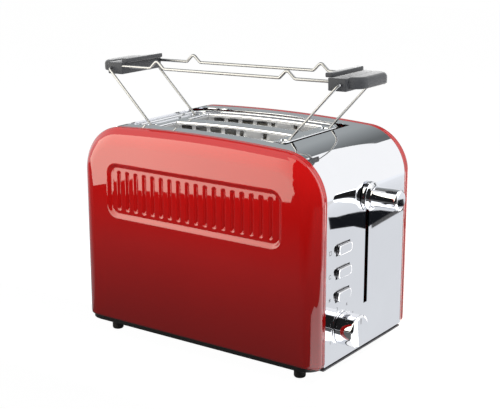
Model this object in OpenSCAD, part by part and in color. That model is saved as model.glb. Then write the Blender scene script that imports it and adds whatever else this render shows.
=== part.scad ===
// Two-slot toaster with red side shells, a bright wrap-round band and a lift-off roll rack.
// +X points to the control end, -Y to the near shell and +Z up. The origin lies on the table.

/* [Casing] */
// Length of the casing, control end to back
body_l = 244; // [236:1:270]
// Width of the casing across both shells
body_w = 160; // [152:1:190]
// Height of the casing's top at its middle
body_top = 190; // [184:1:215]
// Height of the band's lower edge
sill_z = 13.5; // [12:0.5:18]
// How far the shells reach below the band
shell_drop = 2; // [0:0.5:3]
// Radius of the gently crowned top
crown_r = 1400; // [1000:50:3000]
// Radius of the upper corners, seen from the side
corner_r = 40; // [30:1:44]
// Radius of the shells' rounded edges
edge_r = 15.5; // [10:0.5:17]
// Radius of the lower corners, seen from the side
heel_r = 6; // [2:0.5:10]
// Wall of the side shells
shell_t = 2; // [1.6:0.1:3]
// Thickness of the bright band
band_t = 0.8; // [0.5:0.1:1.2]
// Width of the ledge that carries the band
ledge_w = 6; // [4:0.5:7]
// Gap in the seams between band and shells
seam = 0.1; // [0.05:0.05:0.3]

/* [Vent panel] */
// Length of the pressed panel
vent_l = 180; // [160:1:190]
// Height of the pressed panel
vent_h = 47; // [42:1:56]
// Height of the panel's middle
vent_z = 134; // [125:1:138]
// Depth of the panel below the shell's face
vent_depth = 3; // [2:0.5:4]
// Width of the panel's sloping border
vent_bevel = 4; // [2:0.5:5]
// Radius of the panel's corners
vent_corner = 10; // [6:1:16]
// Number of upright flutes
flute_count = 18; // [8:1:18]
// Distance from flute to flute
flute_pitch = 9.24; // [7:0.02:9.4]
// Radius of a flute
flute_r = 2.4; // [1.5:0.1:3]
// Height of a flute
flute_h = 35; // [25:1:37]

/* [Base] */
// Height of the feet
foot_h = 11.5; // [6:0.5:11.5]
// Diameter of the feet
foot_d = 10; // [8:0.5:18]
// Middle of the feet from the casing's ends
foot_end = 24; // [16:1:30]
// Middle of the feet from the casing's sides
foot_side = 17.5; // [14:0.5:28]
// Step from the casing in to the base
base_inset = 2.5; // [2.5:0.5:4]
// Head diameter of the base screws
base_screw_head = 6; // [5:0.5:8]
// Shank diameter of the base screws
base_screw_d = 3; // [2.5:0.5:4]

/* [Toast slots] */
// Middle of the slots along the length
slot_x = -8.5; // [-11:0.5:-6]
// Length of a slot
slot_l = 124; // [110:1:125]
// Width of a slot
slot_w = 32; // [28:0.5:34]
// Distance between the middles of the slots
slot_pitch = 48; // [44:0.5:52]
// Depth of the slots' turned-down flanges
flange_h = 11; // [6:0.5:12]
// Length of the slot frame beyond each end of the slots
frame_land = 20; // [19:0.5:22]
// Width of the slot frame over its rim
frame_w = 96.4; // [94:0.2:106]
// Corner radius of the slot frame's rim
frame_corner = 14; // [8:1:20]
// Width of the raised rim
rim_w = 3; // [2:0.5:3.5]
// Height of the raised rim
rim_h = 1.5; // [1:0.1:2.5]
// Sheet of the slot frame
frame_t = 1; // [0.6:0.1:1.5]
// Gap between the slot frame and the band
frame_gap = 1.2; // [0.5:0.1:2]
// Rim below the casing's top, where the frame's arch is highest
frame_sink = 0.8; // [0:0.1:1.5]
// Highest place of the frame's arch along the length
arch_x = 16; // [0:1:20]

/* [Chamber] */
// Length of the chamber between the bulkheads
chamber_l = 152; // [146:1:156]
// Width of the bulkheads
bulkhead_w = 124; // [120:1:136]
// Sheet of the bulkheads
bulkhead_t = 0.8; // [0.6:0.1:1.5]
// Reflectors from the middle
reflector_y = 53; // [51:0.5:56]
// Sheet of the reflectors
reflector_t = 0.6; // [0.4:0.1:1]
// Outer heater cards from the middle
heater_y = 47; // [45:0.5:49]
// Thickness of a mica card
mica_t = 1; // [0.5:0.1:1.2]
// Height of a mica card
mica_h = 100; // [80:1:110]
// Runs of heater ribbon on a card's face
ribbon_count = 9; // [5:1:12]
// Width of the heater ribbon
ribbon_w = 1.4; // [0.8:0.1:2.5]
// Thickness of the heater ribbon
ribbon_t = 0.5; // [0.3:0.1:0.8]
// Guards from the middle of their slot, lever up
guard_open = 13; // [12:0.5:14]
// Way that the guards close, lever down
guard_close = 4; // [2:0.5:4.5]
// Wire of the bread guards
guard_bar = 1.6; // [1.2:0.1:2]
// Height of a bread guard
guard_h = 110; // [100:1:112]
// Upright wires of a bread guard
guard_count = 10; // [6:1:14]

/* [Carriage] */
// Height of the lever, up
lever_z = 143; // [138:1:148]
// Travel of the lever
lever_travel = 84; // [70:1:85]
// Length of the lever from the panel
lever_out = 26.5; // [22:0.5:32]
// Diameter of the lever's handle
lever_d = 17; // [12:0.5:20]
// Diameter of the lever's collar
collar_d = 25; // [21:0.5:28]
// Thickness of the lever's collar
collar_t = 7.4; // [4:0.2:9]
// Height of the lever's arm
arm_h = 8; // [6:0.5:10]
// Thickness of the lever's arm
arm_t = 4; // [3:0.1:4.4]
// Width of the lever's slot in the panel
lever_slot_w = 5.6; // [5.2:0.1:7]
// Diameter of the guide rods
rod_d = 5; // [4:0.5:6]
// Guide rods from the middle
rod_y = 14; // [13:0.5:17]
// Guide rods from the front bulkhead
rod_off = 12; // [10:0.5:20]
// Thickness of the carriage along the length
carriage_t = 10; // [8:0.5:14]
// Height of the carriage
carriage_h = 32; // [28:1:34]
// Height of a bread lifter
lifter_h = 8; // [6:0.5:10]
// Thickness of a bread lifter
lifter_t = 3; // [2:0.5:4]
// Running clearance of the carriage on its rods
run_clear = 0.08; // [0.05:0.01:0.1]

/* [Controls] */
// Middle of the buttons from the band's near edge
button_edge = 26.5; // [25:0.5:29]
// Height of the middle button
button_z = 88.2; // [86:0.1:94]
// Distance from button to button
button_pitch = 19.5; // [17:0.1:21]
// Width of a button
button_w = 21; // [16:0.5:22]
// Height of a button
button_h = 8.6; // [6:0.2:10]
// How far a button stands out
button_out = 2.8; // [2.6:0.2:6]
// Travel of a button
button_travel = 2.5; // [1:0.5:3]
// Clearance round a button
button_clear = 0.4; // [0.3:0.1:0.8]
// Middle of the browning knob from the band's near edge
knob_edge = 26.5; // [23:0.5:30]
// Height of the browning knob's middle
knob_z = 40.3; // [38:0.1:44]
// Diameter of the browning knob
knob_d = 27; // [22:0.5:28]
// How far the browning knob stands out
knob_out = 18; // [14:0.5:24]
// Diameter of the ring behind the knob
knob_ring_d = 30; // [29:0.5:34]
// Diameter of the knob's shaft
shaft_d = 6; // [5:0.5:7]
// Thickness of the control board
board_t = 1.6; // [1:0.1:2]

/* [Crumb tray] */
// Width of the crumb tray
tray_w = 98; // [80:1:100]
// Height of the crumb tray
tray_h = 8; // [6:0.5:10]
// Sheet of the crumb tray
tray_t = 0.8; // [0.6:0.1:1.2]
// Play of the crumb tray in its way
tray_play = 0.3; // [0.3:0.1:0.6]

/* [Cord gland] */
// Middle of the gland from the band's far edge
gland_edge = 18.5; // [13:0.5:34]
// Height of the gland's middle
gland_z = 40; // [36:1:60]
// Bore of the gland
gland_bore = 7; // [6:0.5:9]

/* [Roll rack] */
// Height of the legs' pivots
pivot_z = 233.4; // [228:0.2:240]
// Middle of the rack along the length
rack_x = -8.5; // [-10:0.5:-7]
// Tilt of the rack on the casing
rack_tilt = 1.4; // [0:0.1:1.6]
// Legs' pivots from the rack's middle
pivot_x = 119.3; // [117:0.1:122]
// Legs' feet beyond the ends of the slots
foot_land = 10.5; // [10:0.5:11]
// Drop of the legs, pivot to socket
leg_drop = 46.5; // [45:0.1:48]
// Diameter of the rack's wire
wire_d = 3; // [2.5:0.1:3.2]
// Rails from the middle
rail_y = 26; // [22:0.5:26]
// Height of the rails above the pivots
rail_rise = 1.8; // [1:0.1:2.2]
// Height of the rails' peaks
peak_h = 7; // [4:0.5:10]
// Length of a rail's peak
peak_l = 15; // [14:0.5:20]
// Peaks from the rack's middle
peak_x = 68; // [55:0.5:80]
// Length of a handle's bracket across the rack
bracket_w = 55; // [54:0.5:56]
// Half the length of the rack over its handles
rack_reach = 136.5; // [134:0.5:142]
// Width of a handle's grip
grip_w = 48; // [40:1:52]
// Thickness of a handle's grip
grip_t = 9.4; // [6:0.2:10]

/* [Hidden] */
$fn = 64;
// Straight steps in a drawn quarter circle
arc_steps = 8;
// Straight steps in an upper corner, in the crowned top, in a shell's edge and in a wire's bend
corner_steps = 12;
crown_steps = 8;
edge_steps = 6;
bend_steps = 4;
// Overlap of a cutter past the face that it cuts
past = 1;
// Working clearance between pieces that pass each other
gap = 0.5;

// Side profile: crowned top, upper corners and straight ends, all tangent
crown_cz = body_top - crown_r;
corner_cx = body_l / 2 - corner_r;
crown_half = asin(corner_cx / (crown_r - corner_r));
corner_cz = crown_cz + (crown_r - corner_r) * cos(crown_half);
corner_sweep = 90 - crown_half;
seam_y = body_w / 2 - edge_r;
band_half = seam_y - seam;
foot_x = body_l / 2 - foot_end;
foot_y = body_w / 2 - foot_side;
panel_x = body_l / 2;
panel_in = panel_x - band_t;

// Vent panel
vent_floor_t = 3;
flute_standoff = 0.4;
vent_back_margin = 2;

// Slot frame, arched on its own and carried by the bulkheads
slot_ys = [-slot_pitch / 2, slot_pitch / 2];
arch_cz = body_top - frame_sink - crown_r;
deck_z = body_top - frame_sink - frame_t;
skirt_h = 8;
skirt_inset = 0.5;
frame_l = slot_l + 2 * frame_land;
opening_l = frame_l + 2 * frame_gap;
opening_w = frame_w + 2 * frame_gap;
opening_corner = 1.5;
socket_l = 12.6;
socket_x = slot_l / 2 + foot_land;
socket_shift = 1;
socket_w = 4.6;

// Bulkheads stand on the base and stop under the slot frame
chamber_back = slot_x - chamber_l / 2;
chamber_front = slot_x + chamber_l / 2;
bulkhead_top = deck_z - skirt_h;
bulkhead_h = bulkhead_top - sill_z;
foot_tab_l = 14;
foot_tab_w = 9;
foot_tab_y = bulkhead_w / 2 - foot_tab_w / 2;
foot_tab_t = 1.2;
shelf_t = 1.2;
shelf_z = bulkhead_top - shelf_t;
rod_x = chamber_front + bulkhead_t + rod_off;
rod_fit = 0.05;
boss_h = 5;
boss_d = rod_d + 5;

// Guards ride in slits of the bulkheads
guard_drop = 5;
guard_high = deck_z - flange_h - guard_drop;
guard_low = guard_high - guard_h;
guard_rail = 2;
guard_rail_inset = 8;
guard_rail_low = guard_low + guard_rail_inset;
guard_rail_high = guard_high - guard_rail_inset;
guard_inset = 2;
guard_l = slot_l - 2 * guard_inset;
guard_slit = 0.4;

// Carriage
carriage_low = lever_z + arm_h / 2 + 3 - carriage_h;
carriage_w = slot_pitch + 2 * lifter_t + 2;
lifter_x0 = slot_x - slot_l / 2 + guard_inset;
tine_w = 14;
tine_t = 1.6;
tine_inset = 6;
tine_count = 9;
tine_pitch = (slot_l - 2 * tine_inset) / (tine_count - 1);
armature_t = 4;
latch_gap = 0.5;
latch_top = carriage_low - armature_t - lever_travel - latch_gap;
core_size = [6, 8];
coil_size = [14, 16];
spring_od = 7;
spring_wire = 1;
spring_end = 0.3;
collar_gap = 0.6;
arm_grip = 14;
arm_fit = 0.1;

// Controls, from the panel inwards
button_y = button_edge - seam_y;
knob_y = knob_edge - seam_y;
guide_t = 8;
guide_x = panel_in - guide_t;
guide_margin = 6.5;
flange_t = 1.4;
flange_rim = 2;
flange_gap = 0.3;
flange_x = guide_x - flange_gap - flange_t;
switch_h = 3;
switch_w = 6;
plunger_h = 1;
plunger_d = 3.4;
switch_gap = 0.5;
board_x = flange_x - button_travel - switch_gap - switch_h;
button_zs = [button_z + button_pitch, button_z, button_z - button_pitch];
button_corner = 3.4;
button_chamfer = 1;
post_d = 4;
post_y = guide_margin - post_d / 2;
guide_w = button_w + 2 * guide_margin;
guide_low = button_zs[2] - button_h / 2 - guide_margin;
guide_high = button_zs[0] + button_h / 2 + guide_margin;
post_places = [
    for (y = [-1, 1], z = [guide_low + post_d, guide_high - post_d])
        [button_y + y * (guide_w / 2 - post_d / 2), z]
];
board_screw_d = 2;
board_screw_l = 7;
board_screw_head = 3.8;
board_screw_fit = 0.1;
board_low = knob_z - 15;
board_margin = 9;
board_edge_y = button_y + guide_w / 2 + board_margin;
pot_d = 18;
pot_l = 8.5;
bush_d = 9;
bush_out = 0.8;
bush_clear = 0.3;
shaft_fit = 0.05;
knob_grip = 13;
ring_t = 1;
knob_gap = 0.3;
knob_chamfer = 1.2;

// Crumb tray
tray_z = sill_z + tray_play;
tray_x0 = -panel_in + 1;
tray_x1 = chamber_front - 3;
tray_handle_t = 5;
tray_handle_w = 60;
tray_way_w = tray_w + 2 * gap;
tray_rail_t = 2;

// Cord gland
gland_y = seam_y - gland_edge;
gland_wall = 3;
gland_flange_d = gland_bore + 11;
gland_flange_t = 2;
gland_l = 9;

// Rack handles
bracket_in = pivot_x - 12.3;
bracket_out = pivot_x + 4.7;
bracket_low = -5.4;
bracket_high = 4.9;
ridge_in = bracket_in - 4;
ridge_out = bracket_in + 3;
ridge_w = 50;
ridge_high = 8.4;
grip_low = -3.6;
grip_corner = 10.5;
rail_seat = 6;
rail_fit = 0.05;
pivot_fit = 0.08;
leg_y = bracket_w / 2 + 4;
leg_bend = 3;
leg_extra = 2.4;
leg_reach = pivot_x - socket_x - socket_shift;
leg_angle = atan2(leg_drop, leg_reach);
leg_l = norm([leg_reach, leg_drop]) + leg_extra;
peak_bend = 3;

red = [0.66, 0.06, 0.07];
bright = [0.80, 0.81, 0.83];
black = [0.07, 0.07, 0.075];
steel = [0.62, 0.63, 0.65];
mica = [0.78, 0.72, 0.60];
green = [0.10, 0.35, 0.20];
copper = [0.72, 0.45, 0.25];

// Points of an arc about c, from angle a0 to a1
function arc(c, r, a0, a1, n = arc_steps) =
    [for (i = [0:n]) c + r * [cos(a0 + (a1 - a0) * i / n), sin(a0 + (a1 - a0) * i / n)]];

// Outline of a rectangle with rounded corners, about the origin
function round_rect(l, w, r) = concat(
    arc([l / 2 - r, w / 2 - r], r, 0, 90),
    arc([r - l / 2, w / 2 - r], r, 90, 180),
    arc([r - l / 2, r - w / 2], r, 180, 270),
    arc([l / 2 - r, r - w / 2], r, 270, 360)
);

// Direction of the line from point p to point q
function heading(p, q) = atan2(q[1] - p[1], q[0] - p[0]);

// Turn at the middle of three points, from -180 to 180 degrees
function turn(p, q, r) =
    let (a = heading(q, r) - heading(p, q)) a > 180 ? a - 360 : a < -180 ? a + 360 : a;

// Points of the arc that rounds the corner q between p and r to radius b
function bend(p, q, r, b) =
    let (
        a = heading(p, q),
        swing = turn(p, q, r),
        side = sign(swing),
        centre = q - b * tan(abs(swing) / 2) * [cos(a), sin(a)] + side * b * [-sin(a), cos(a)]
    )
    arc(centre, b, a - side * 90, a - side * 90 + swing, bend_steps);

// Solid between outlines of equal length, drawn in X and Z and set at falling values of Y
module loft(outlines, ys) {
    m = len(outlines[0]);
    last = len(outlines) - 1;
    points = [for (i = [0:last], p = outlines[i]) [p[0], ys[i], p[1]]];
    sides = [
        for (i = [0:last - 1], j = [0:m - 1], half = [0, 1])
            let (a = i * m + j, b = i * m + (j + 1) % m)
            half == 0 ? [a, a + m, b + m] : [a, b + m, b]
    ];
    caps = [[for (j = [0:m - 1]) j], [for (j = [m - 1:-1:0]) last * m + j]];
    polyhedron(points, concat(sides, caps));
}

// Round wire along a path drawn in X and Z
module swept_wire(path, d) {
    m = 16;
    last = len(path) - 1;
    rings = [
        for (i = [0:last])
            let (
                before = heading(path[max(i - 1, 0)], path[max(i, 1)]),
                swing = i == 0 || i == last ? 0 : turn(path[i - 1], path[i], path[i + 1]),
                across = before + swing / 2 + 90,
                reach = d / 2 / cos(swing / 2)
            )
            [
                for (k = [0:m - 1])
                    [
                        path[i][0] + reach * cos(360 * k / m) * cos(across),
                        d / 2 * sin(360 * k / m),
                        path[i][1] + reach * cos(360 * k / m) * sin(across)
                    ]
            ]
    ];
    sides = [
        for (i = [0:last - 1], k = [0:m - 1])
            [i * m + k, i * m + (k + 1) % m, (i + 1) * m + (k + 1) % m, (i + 1) * m + k]
    ];
    caps = [[for (k = [m - 1:-1:0]) k], [for (k = [0:m - 1]) last * m + k]];
    polyhedron([for (ring = rings, p = ring) p], concat(sides, caps));
}

// Box between two corners
module block(low, high) {
    translate(low) cube(high - low);
}

// Bar along +X whose section is drawn in the Y-Z plane
module along_x(x0, x1) {
    translate([x0, 0, 0]) rotate([90, 0, 90]) linear_extrude(x1 - x0) children();
}

// Round bar along +X
module round_x(x0, x1, y, z, d) {
    translate([x0, y, z]) rotate([0, 90, 0]) cylinder(d = d, h = x1 - x0);
}

// Side outline of the casing, set in by d and cut off at the height low
function profile(d, low) = concat(
    [[panel_x - d, low]],
    arc([corner_cx, corner_cz], corner_r - d, 0, corner_sweep, corner_steps),
    [
        for (i = [1:crown_steps - 1])
            let (a = corner_sweep + 2 * crown_half * i / crown_steps)
            [0, crown_cz] + (crown_r - d) * [cos(a), sin(a)]
    ],
    arc([-corner_cx, corner_cz], corner_r - d, 180 - corner_sweep, 180, corner_steps),
    [[d - panel_x, low]]
);

// Block that rounds off the lower corners of what ends at the height low
module heel_trim(low) {
    outline = concat(
        [[panel_x + past, body_top + past], [-panel_x - past, body_top + past]],
        [[-panel_x - past, low + heel_r]],
        arc([heel_r - panel_x, low + heel_r], heel_r, 180, 270),
        arc([panel_x - heel_r, low + heel_r], heel_r, 270, 360),
        [[panel_x + past, low + heel_r]]
    );
    rotate([90, 0, 0]) linear_extrude(body_w + 2 * past, center = true) polygon(outline);
}

// Upright flute with round ends, about the origin
module flute() {
    straight = flute_h / 2 - flute_r;
    outline = concat(
        [[0, -flute_h / 2]],
        arc([0, -straight], flute_r, -75, 0, 3),
        arc([0, straight], flute_r, 0, 75, 3),
        [[0, flute_h / 2]]
    );
    rotate_extrude($fn = 32) polygon(outline);
}

// Hollow of the pressed panel, open to the near side
module vent_hollow() {
    face = -body_w / 2;
    grow = vent_bevel * past / vent_depth;
    mouth = round_rect(vent_l + 2 * grow, vent_h + 2 * grow, vent_corner + grow);
    floor = round_rect(vent_l - 2 * vent_bevel, vent_h - 2 * vent_bevel, vent_corner - vent_bevel);
    translate([0, 0, vent_z]) loft([floor, mouth], [face + vent_depth, face - past]);
}

// Red side shell with a rounded edge, a ledge under the band and a fluted panel, on the near side
module shell() {
    face = -body_w / 2;
    floor_y = face + vent_depth;
    back = [vent_l / 2 + vent_back_margin, vent_h / 2 + vent_back_margin];
    turns = [for (i = [0:edge_steps]) 90 * i / edge_steps];
    ledge_y = ledge_w - seam_y;
    ledge_d = band_t + seam;
    inner_r = edge_r - shell_t;
    low = sill_z - shell_drop;
    outer_d = concat([ledge_d, ledge_d], [for (a = turns) edge_r * (1 - cos(a))]);
    outer_y = concat([ledge_y, seam - seam_y], [for (a = turns) -seam_y - edge_r * sin(a)]);
    inner_d = concat([shell_t], [for (a = turns) shell_t + inner_r * (1 - cos(a))]);
    inner_y = concat([ledge_y + past], [for (a = turns) -seam_y - inner_r * sin(a)]);
    intersection() {
        difference() {
            union() {
                difference() {
                    loft([for (d = outer_d) profile(d, low)], outer_y);
                    loft([for (d = inner_d) profile(d, low - past)], inner_y);
                }
                block([-back[0], face + shell_t / 2, vent_z - back[1]],
                    [back[0], floor_y + vent_floor_t, vent_z + back[1]]);
            }
            vent_hollow();
            for (i = [0:flute_count - 1])
                translate([(i - (flute_count - 1) / 2) * flute_pitch, floor_y - flute_standoff, vent_z]) flute();
        }
        heel_trim(low);
    }
}

module side_shell_near() {
    color(red) shell();
}

module side_shell_far() {
    color(red) mirror([0, 1, 0]) shell();
}

// Bright band round front, top and back, with every opening in it
module chrome_band() {
    slot_low = lever_z - lever_travel - arm_h / 2 - 4;
    slot_high = lever_z + arm_h / 2 + 2;
    window = [button_w + 2 * button_clear, button_h + 2 * button_clear];
    color(bright) difference() {
        rotate([90, 0, 0]) linear_extrude(2 * band_half, center = true) difference() {
            polygon(profile(0, sill_z));
            polygon(profile(band_t, sill_z - past));
        }
        translate([slot_x, 0, corner_cz]) linear_extrude(body_top)
            polygon(round_rect(opening_l, opening_w, opening_corner));
        block([panel_in - past, -lever_slot_w / 2, slot_low], [panel_x + past, lever_slot_w / 2, slot_high]);
        for (z = button_zs)
            block([panel_in - past, button_y - window[0] / 2, z - window[1] / 2],
                [panel_x + past, button_y + window[0] / 2, z + window[1] / 2]);
        round_x(panel_in - past, panel_x + past, knob_y, knob_z, bush_d + 2 * bush_clear);
        round_x(-panel_x - past, past - panel_in, gland_y, gland_z, gland_bore + 2 * gland_wall + 2 * rod_fit);
        block([-panel_x - past, -tray_way_w / 2, sill_z - past],
            [past - panel_in, tray_way_w / 2, tray_z + tray_h + gap]);
    }
}

// Ring between two rounded rectangles
module rim_ring(l, w, r, t, h) {
    linear_extrude(h) difference() {
        polygon(round_rect(l, w, r));
        polygon(round_rect(l - 2 * t, w - 2 * t, max(r - t, 1)));
    }
}

// All that lies below the slot frame's arch, set down by d
module under_arch(d) {
    translate([arch_x, 0, arch_cz]) rotate([90, 0, 0]) cylinder(r = crown_r - d, h = body_w, center = true, $fn = 720);
}

// Slot frame: arched rim and plate, skirt down to the bulkheads, flanged slots and sockets for the rack
module slot_frame() {
    skirt_l = frame_l - 2 * skirt_inset;
    skirt_w = frame_w - 2 * skirt_inset;
    flange_low = deck_z - flange_h;
    color(bright) difference() {
        union() {
            intersection() {
                translate([slot_x, 0, bulkhead_top]) rim_ring(frame_l, frame_w, frame_corner, rim_w, body_top);
                difference() {
                    under_arch(0);
                    under_arch(rim_h + frame_t);
                }
            }
            intersection() {
                translate([slot_x, 0, bulkhead_top]) linear_extrude(body_top)
                    polygon(round_rect(frame_l, frame_w, frame_corner));
                difference() {
                    under_arch(rim_h);
                    under_arch(rim_h + frame_t);
                }
            }
            intersection() {
                union() {
                    translate([slot_x, 0, bulkhead_top])
                        rim_ring(skirt_l, skirt_w, frame_corner - skirt_inset, frame_t, body_top);
                    for (y = slot_ys)
                        block([slot_x - slot_l / 2 - frame_t, y - slot_w / 2 - frame_t, flange_low],
                            [slot_x + slot_l / 2 + frame_t, y + slot_w / 2 + frame_t, body_top]);
                }
                under_arch(rim_h + frame_t / 2);
            }
        }
        for (y = slot_ys)
            block([slot_x - slot_l / 2, y - slot_w / 2, flange_low - past],
                [slot_x + slot_l / 2, y + slot_w / 2, body_top + past]);
        for (end = [-1, 1], y = [-leg_y, leg_y])
            translate([rack_x + end * socket_x, y, flange_low])
                linear_extrude(body_top - flange_low) polygon(round_rect(socket_l, socket_w, socket_w / 2 - 0.01));
    }
}

// Places of the base screws, under the bulkheads' tabs
base_screw_places = [
    for (x = [chamber_back - foot_tab_l / 2, chamber_front + foot_tab_l / 2], y = [-foot_tab_y, foot_tab_y]) [x, y]
];

// Black base with the crumb tray's rails and the guide rods' bosses
module base_plate() {
    rail_y0 = tray_way_w / 2;
    color(black) difference() {
        union() {
            translate([0, 0, foot_h]) linear_extrude(sill_z - foot_h)
                polygon(round_rect(body_l - 2 * base_inset, body_w - 2 * base_inset, edge_r - base_inset));
            for (side = [0, 1]) mirror([0, side, 0])
                block([chamber_back + past, rail_y0, sill_z], [chamber_front - past, rail_y0 + tray_rail_t, tray_z + tray_h]);
            for (y = [-rod_y, rod_y]) translate([rod_x, y, sill_z]) cylinder(d = boss_d, h = boss_h);
        }
        for (y = [-rod_y, rod_y])
            translate([rod_x, y, sill_z]) cylinder(d = rod_d + 2 * rod_fit, h = boss_h + past);
        for (p = base_screw_places) translate([p[0], p[1], foot_h - past]) {
            cylinder(d = base_screw_d + 2 * rod_fit, h = sill_z - foot_h + 2 * past);
            cylinder(d = base_screw_head + 2 * gap, h = past + (sill_z - foot_h) / 2);
        }
    }
}

module rubber_feet() {
    color(black) for (x = [-foot_x, foot_x], y = [-foot_y, foot_y]) translate([x, y, 0]) {
        cylinder(d1 = foot_d - 1, d2 = foot_d, h = 1);
        translate([0, 0, 1]) cylinder(d = foot_d, h = foot_h - 1);
    }
}

// Screws from under the base into the bulkheads' tabs
module base_screws() {
    head_z = foot_h + (sill_z - foot_h) / 2 - 1.6;
    color(steel) for (p = base_screw_places) translate([p[0], p[1], 0]) {
        translate([0, 0, head_z]) cylinder(d = base_screw_head, h = 1.6);
        translate([0, 0, head_z + 1.6]) cylinder(d = base_screw_d, h = sill_z + foot_tab_t + 2 - head_z - 1.6);
    }
}

module crumb_tray() {
    color(steel) difference() {
        block([tray_x0, -tray_w / 2, tray_z], [tray_x1, tray_w / 2, tray_z + tray_h]);
        block([tray_x0 + tray_t, tray_t - tray_w / 2, tray_z + tray_t],
            [tray_x1 - tray_t, tray_w / 2 - tray_t, tray_z + tray_h + past]);
    }
}

// Handle with a finger lip, on the tray's back wall
module crumb_tray_handle() {
    color(black) {
        block([tray_x0 - tray_handle_t, -tray_handle_w / 2, tray_z], [tray_x0, tray_handle_w / 2, tray_z + tray_h / 2]);
        block([tray_x0 - tray_handle_t, -tray_handle_w / 2, tray_z + tray_h / 2],
            [tray_x0 - tray_handle_t / 2, tray_handle_w / 2, tray_z + tray_h]);
    }
}

module cord_gland() {
    color(black) difference() {
        union() {
            round_x(-panel_x - gland_flange_t, -panel_x, gland_y, gland_z, gland_flange_d);
            round_x(-panel_x, gland_l - panel_x, gland_y, gland_z, gland_bore + 2 * gland_wall);
        }
        round_x(-panel_x - gland_flange_t - past, gland_l - panel_x + past, gland_y, gland_z, gland_bore);
    }
}

// Slits in a bulkhead at x for the ends of the guards' rails
module guard_slits(x) {
    reach = guard_close + guard_rail + 2 * guard_slit;
    for (y = slot_ys, side = [-1, 1], z = [guard_rail_low, guard_rail_high])
        translate([x - past, y + side * (guard_open - guard_close / 2) - reach / 2, z - guard_rail / 2 - guard_slit])
            cube([bulkhead_t + 2 * past, reach, guard_rail + 2 * guard_slit]);
}

// Tabs at a bulkhead's foot, from x0 to x1, with holes for the base screws
module foot_tabs(x0, x1) {
    for (y = [-foot_tab_y, foot_tab_y])
        difference() {
            block([x0, y - foot_tab_w / 2, sill_z], [x1, y + foot_tab_w / 2, sill_z + foot_tab_t]);
            for (p = base_screw_places) translate([p[0], p[1], sill_z - past])
                cylinder(d = base_screw_d + 2 * rod_fit, h = foot_tab_t + 2 * past);
        }
}

// Bulkhead at the control end, with the lifters' ways and the shelf that holds the rods
module front_bulkhead() {
    x = chamber_front;
    lifter_low = carriage_low - lever_travel - 3;
    color(steel) {
        difference() {
            block([x, -bulkhead_w / 2, sill_z], [x + bulkhead_t, bulkhead_w / 2, bulkhead_top]);
            for (y = slot_ys)
                block([x - past, y - lifter_t / 2 - gap, lifter_low],
                    [x + bulkhead_t + past, y + lifter_t / 2 + gap, carriage_low + lifter_h + 3]);
            guard_slits(x);
        }
        foot_tabs(x + bulkhead_t, x + foot_tab_l);
        difference() {
            block([x + bulkhead_t, -rod_y - boss_d, shelf_z], [rod_x + boss_d, rod_y + boss_d, shelf_z + shelf_t]);
            for (y = [-rod_y, rod_y])
                translate([rod_x, y, shelf_z - past]) cylinder(d = rod_d + 2 * rod_fit, h = shelf_t + 2 * past);
        }
    }
}

// Bulkhead at the back, cut away over the crumb tray
module rear_bulkhead() {
    x = chamber_back - bulkhead_t;
    color(steel) {
        difference() {
            block([x, -bulkhead_w / 2, sill_z], [x + bulkhead_t, bulkhead_w / 2, bulkhead_top]);
            block([x - past, -tray_way_w / 2, sill_z - past], [x + bulkhead_t + past, tray_way_w / 2, tray_z + tray_h + gap]);
            guard_slits(x);
        }
        foot_tabs(x + bulkhead_t - foot_tab_l, x);
    }
}

// Reflector behind an outer heater, held between the bulkheads
module reflector(side) {
    low = tray_z + tray_h + 4;
    color(bright) translate([0, side * reflector_y, 0])
        block([chamber_back, -reflector_t / 2, low], [chamber_front, reflector_t / 2, bulkhead_top - past]);
}

module reflector_near() {
    reflector(-1);
}

module reflector_far() {
    reflector(1);
}

mica_low = guard_low + 3;

module mica_card(y) {
    color(mica) block([chamber_back, y - mica_t / 2, mica_low], [chamber_front, y + mica_t / 2, mica_low + mica_h]);
}

module mica_near() {
    mica_card(-heater_y);
}

module mica_centre() {
    mica_card(0);
}

module mica_far() {
    mica_card(heater_y);
}

// Level runs of heater ribbon on both faces of a card, joined over its surface by uprights
module heater(y) {
    pitch = mica_h / (ribbon_count + 1);
    reach = slot_l / 2 - guard_inset;
    color(copper) for (face = [-1, 1]) translate([slot_x, y + face * (mica_t + ribbon_t) / 2, mica_low]) {
        for (i = [1:ribbon_count])
            block([-reach, -ribbon_t / 2, i * pitch - ribbon_w / 2], [reach, ribbon_t / 2, i * pitch + ribbon_w / 2]);
        for (i = [1:ribbon_count - 1])
            translate([(i % 2 == 0 ? -1 : 1) * (reach - ribbon_w / 2), 0, 0])
                block([-ribbon_w / 2, -ribbon_t / 2, i * pitch], [ribbon_w / 2, ribbon_t / 2, (i + 1) * pitch]);
    }
}

module heater_near() {
    heater(-heater_y);
}

module heater_centre() {
    heater(0);
}

module heater_far() {
    heater(heater_y);
}

// Bread guard: upright wires on two rails whose ends ride in the bulkheads
module guard(y) {
    step = guard_l / (guard_count - 1);
    color(steel) translate([0, y, 0]) {
        for (z = [guard_rail_low, guard_rail_high])
            block([chamber_back - bulkhead_t - past, -guard_rail / 2, z - guard_rail / 2],
                [chamber_front + bulkhead_t + past, guard_rail / 2, z + guard_rail / 2]);
        for (i = [0:guard_count - 1])
            translate([slot_x - guard_l / 2 + i * step, 0, guard_low])
                block([-guard_bar / 2, -guard_bar / 2, 0], [guard_bar / 2, guard_bar / 2, guard_high - guard_low]);
    }
}

module guard_near_outer() {
    guard(-slot_pitch / 2 - guard_open);
}

module guard_near_inner() {
    guard(-slot_pitch / 2 + guard_open);
}

module guard_far_inner() {
    guard(slot_pitch / 2 - guard_open);
}

module guard_far_outer() {
    guard(slot_pitch / 2 + guard_open);
}

module guide_rods() {
    color(steel) for (y = [-rod_y, rod_y]) translate([rod_x, y, sill_z])
        cylinder(d = rod_d, h = shelf_z + shelf_t - sill_z);
}

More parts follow.
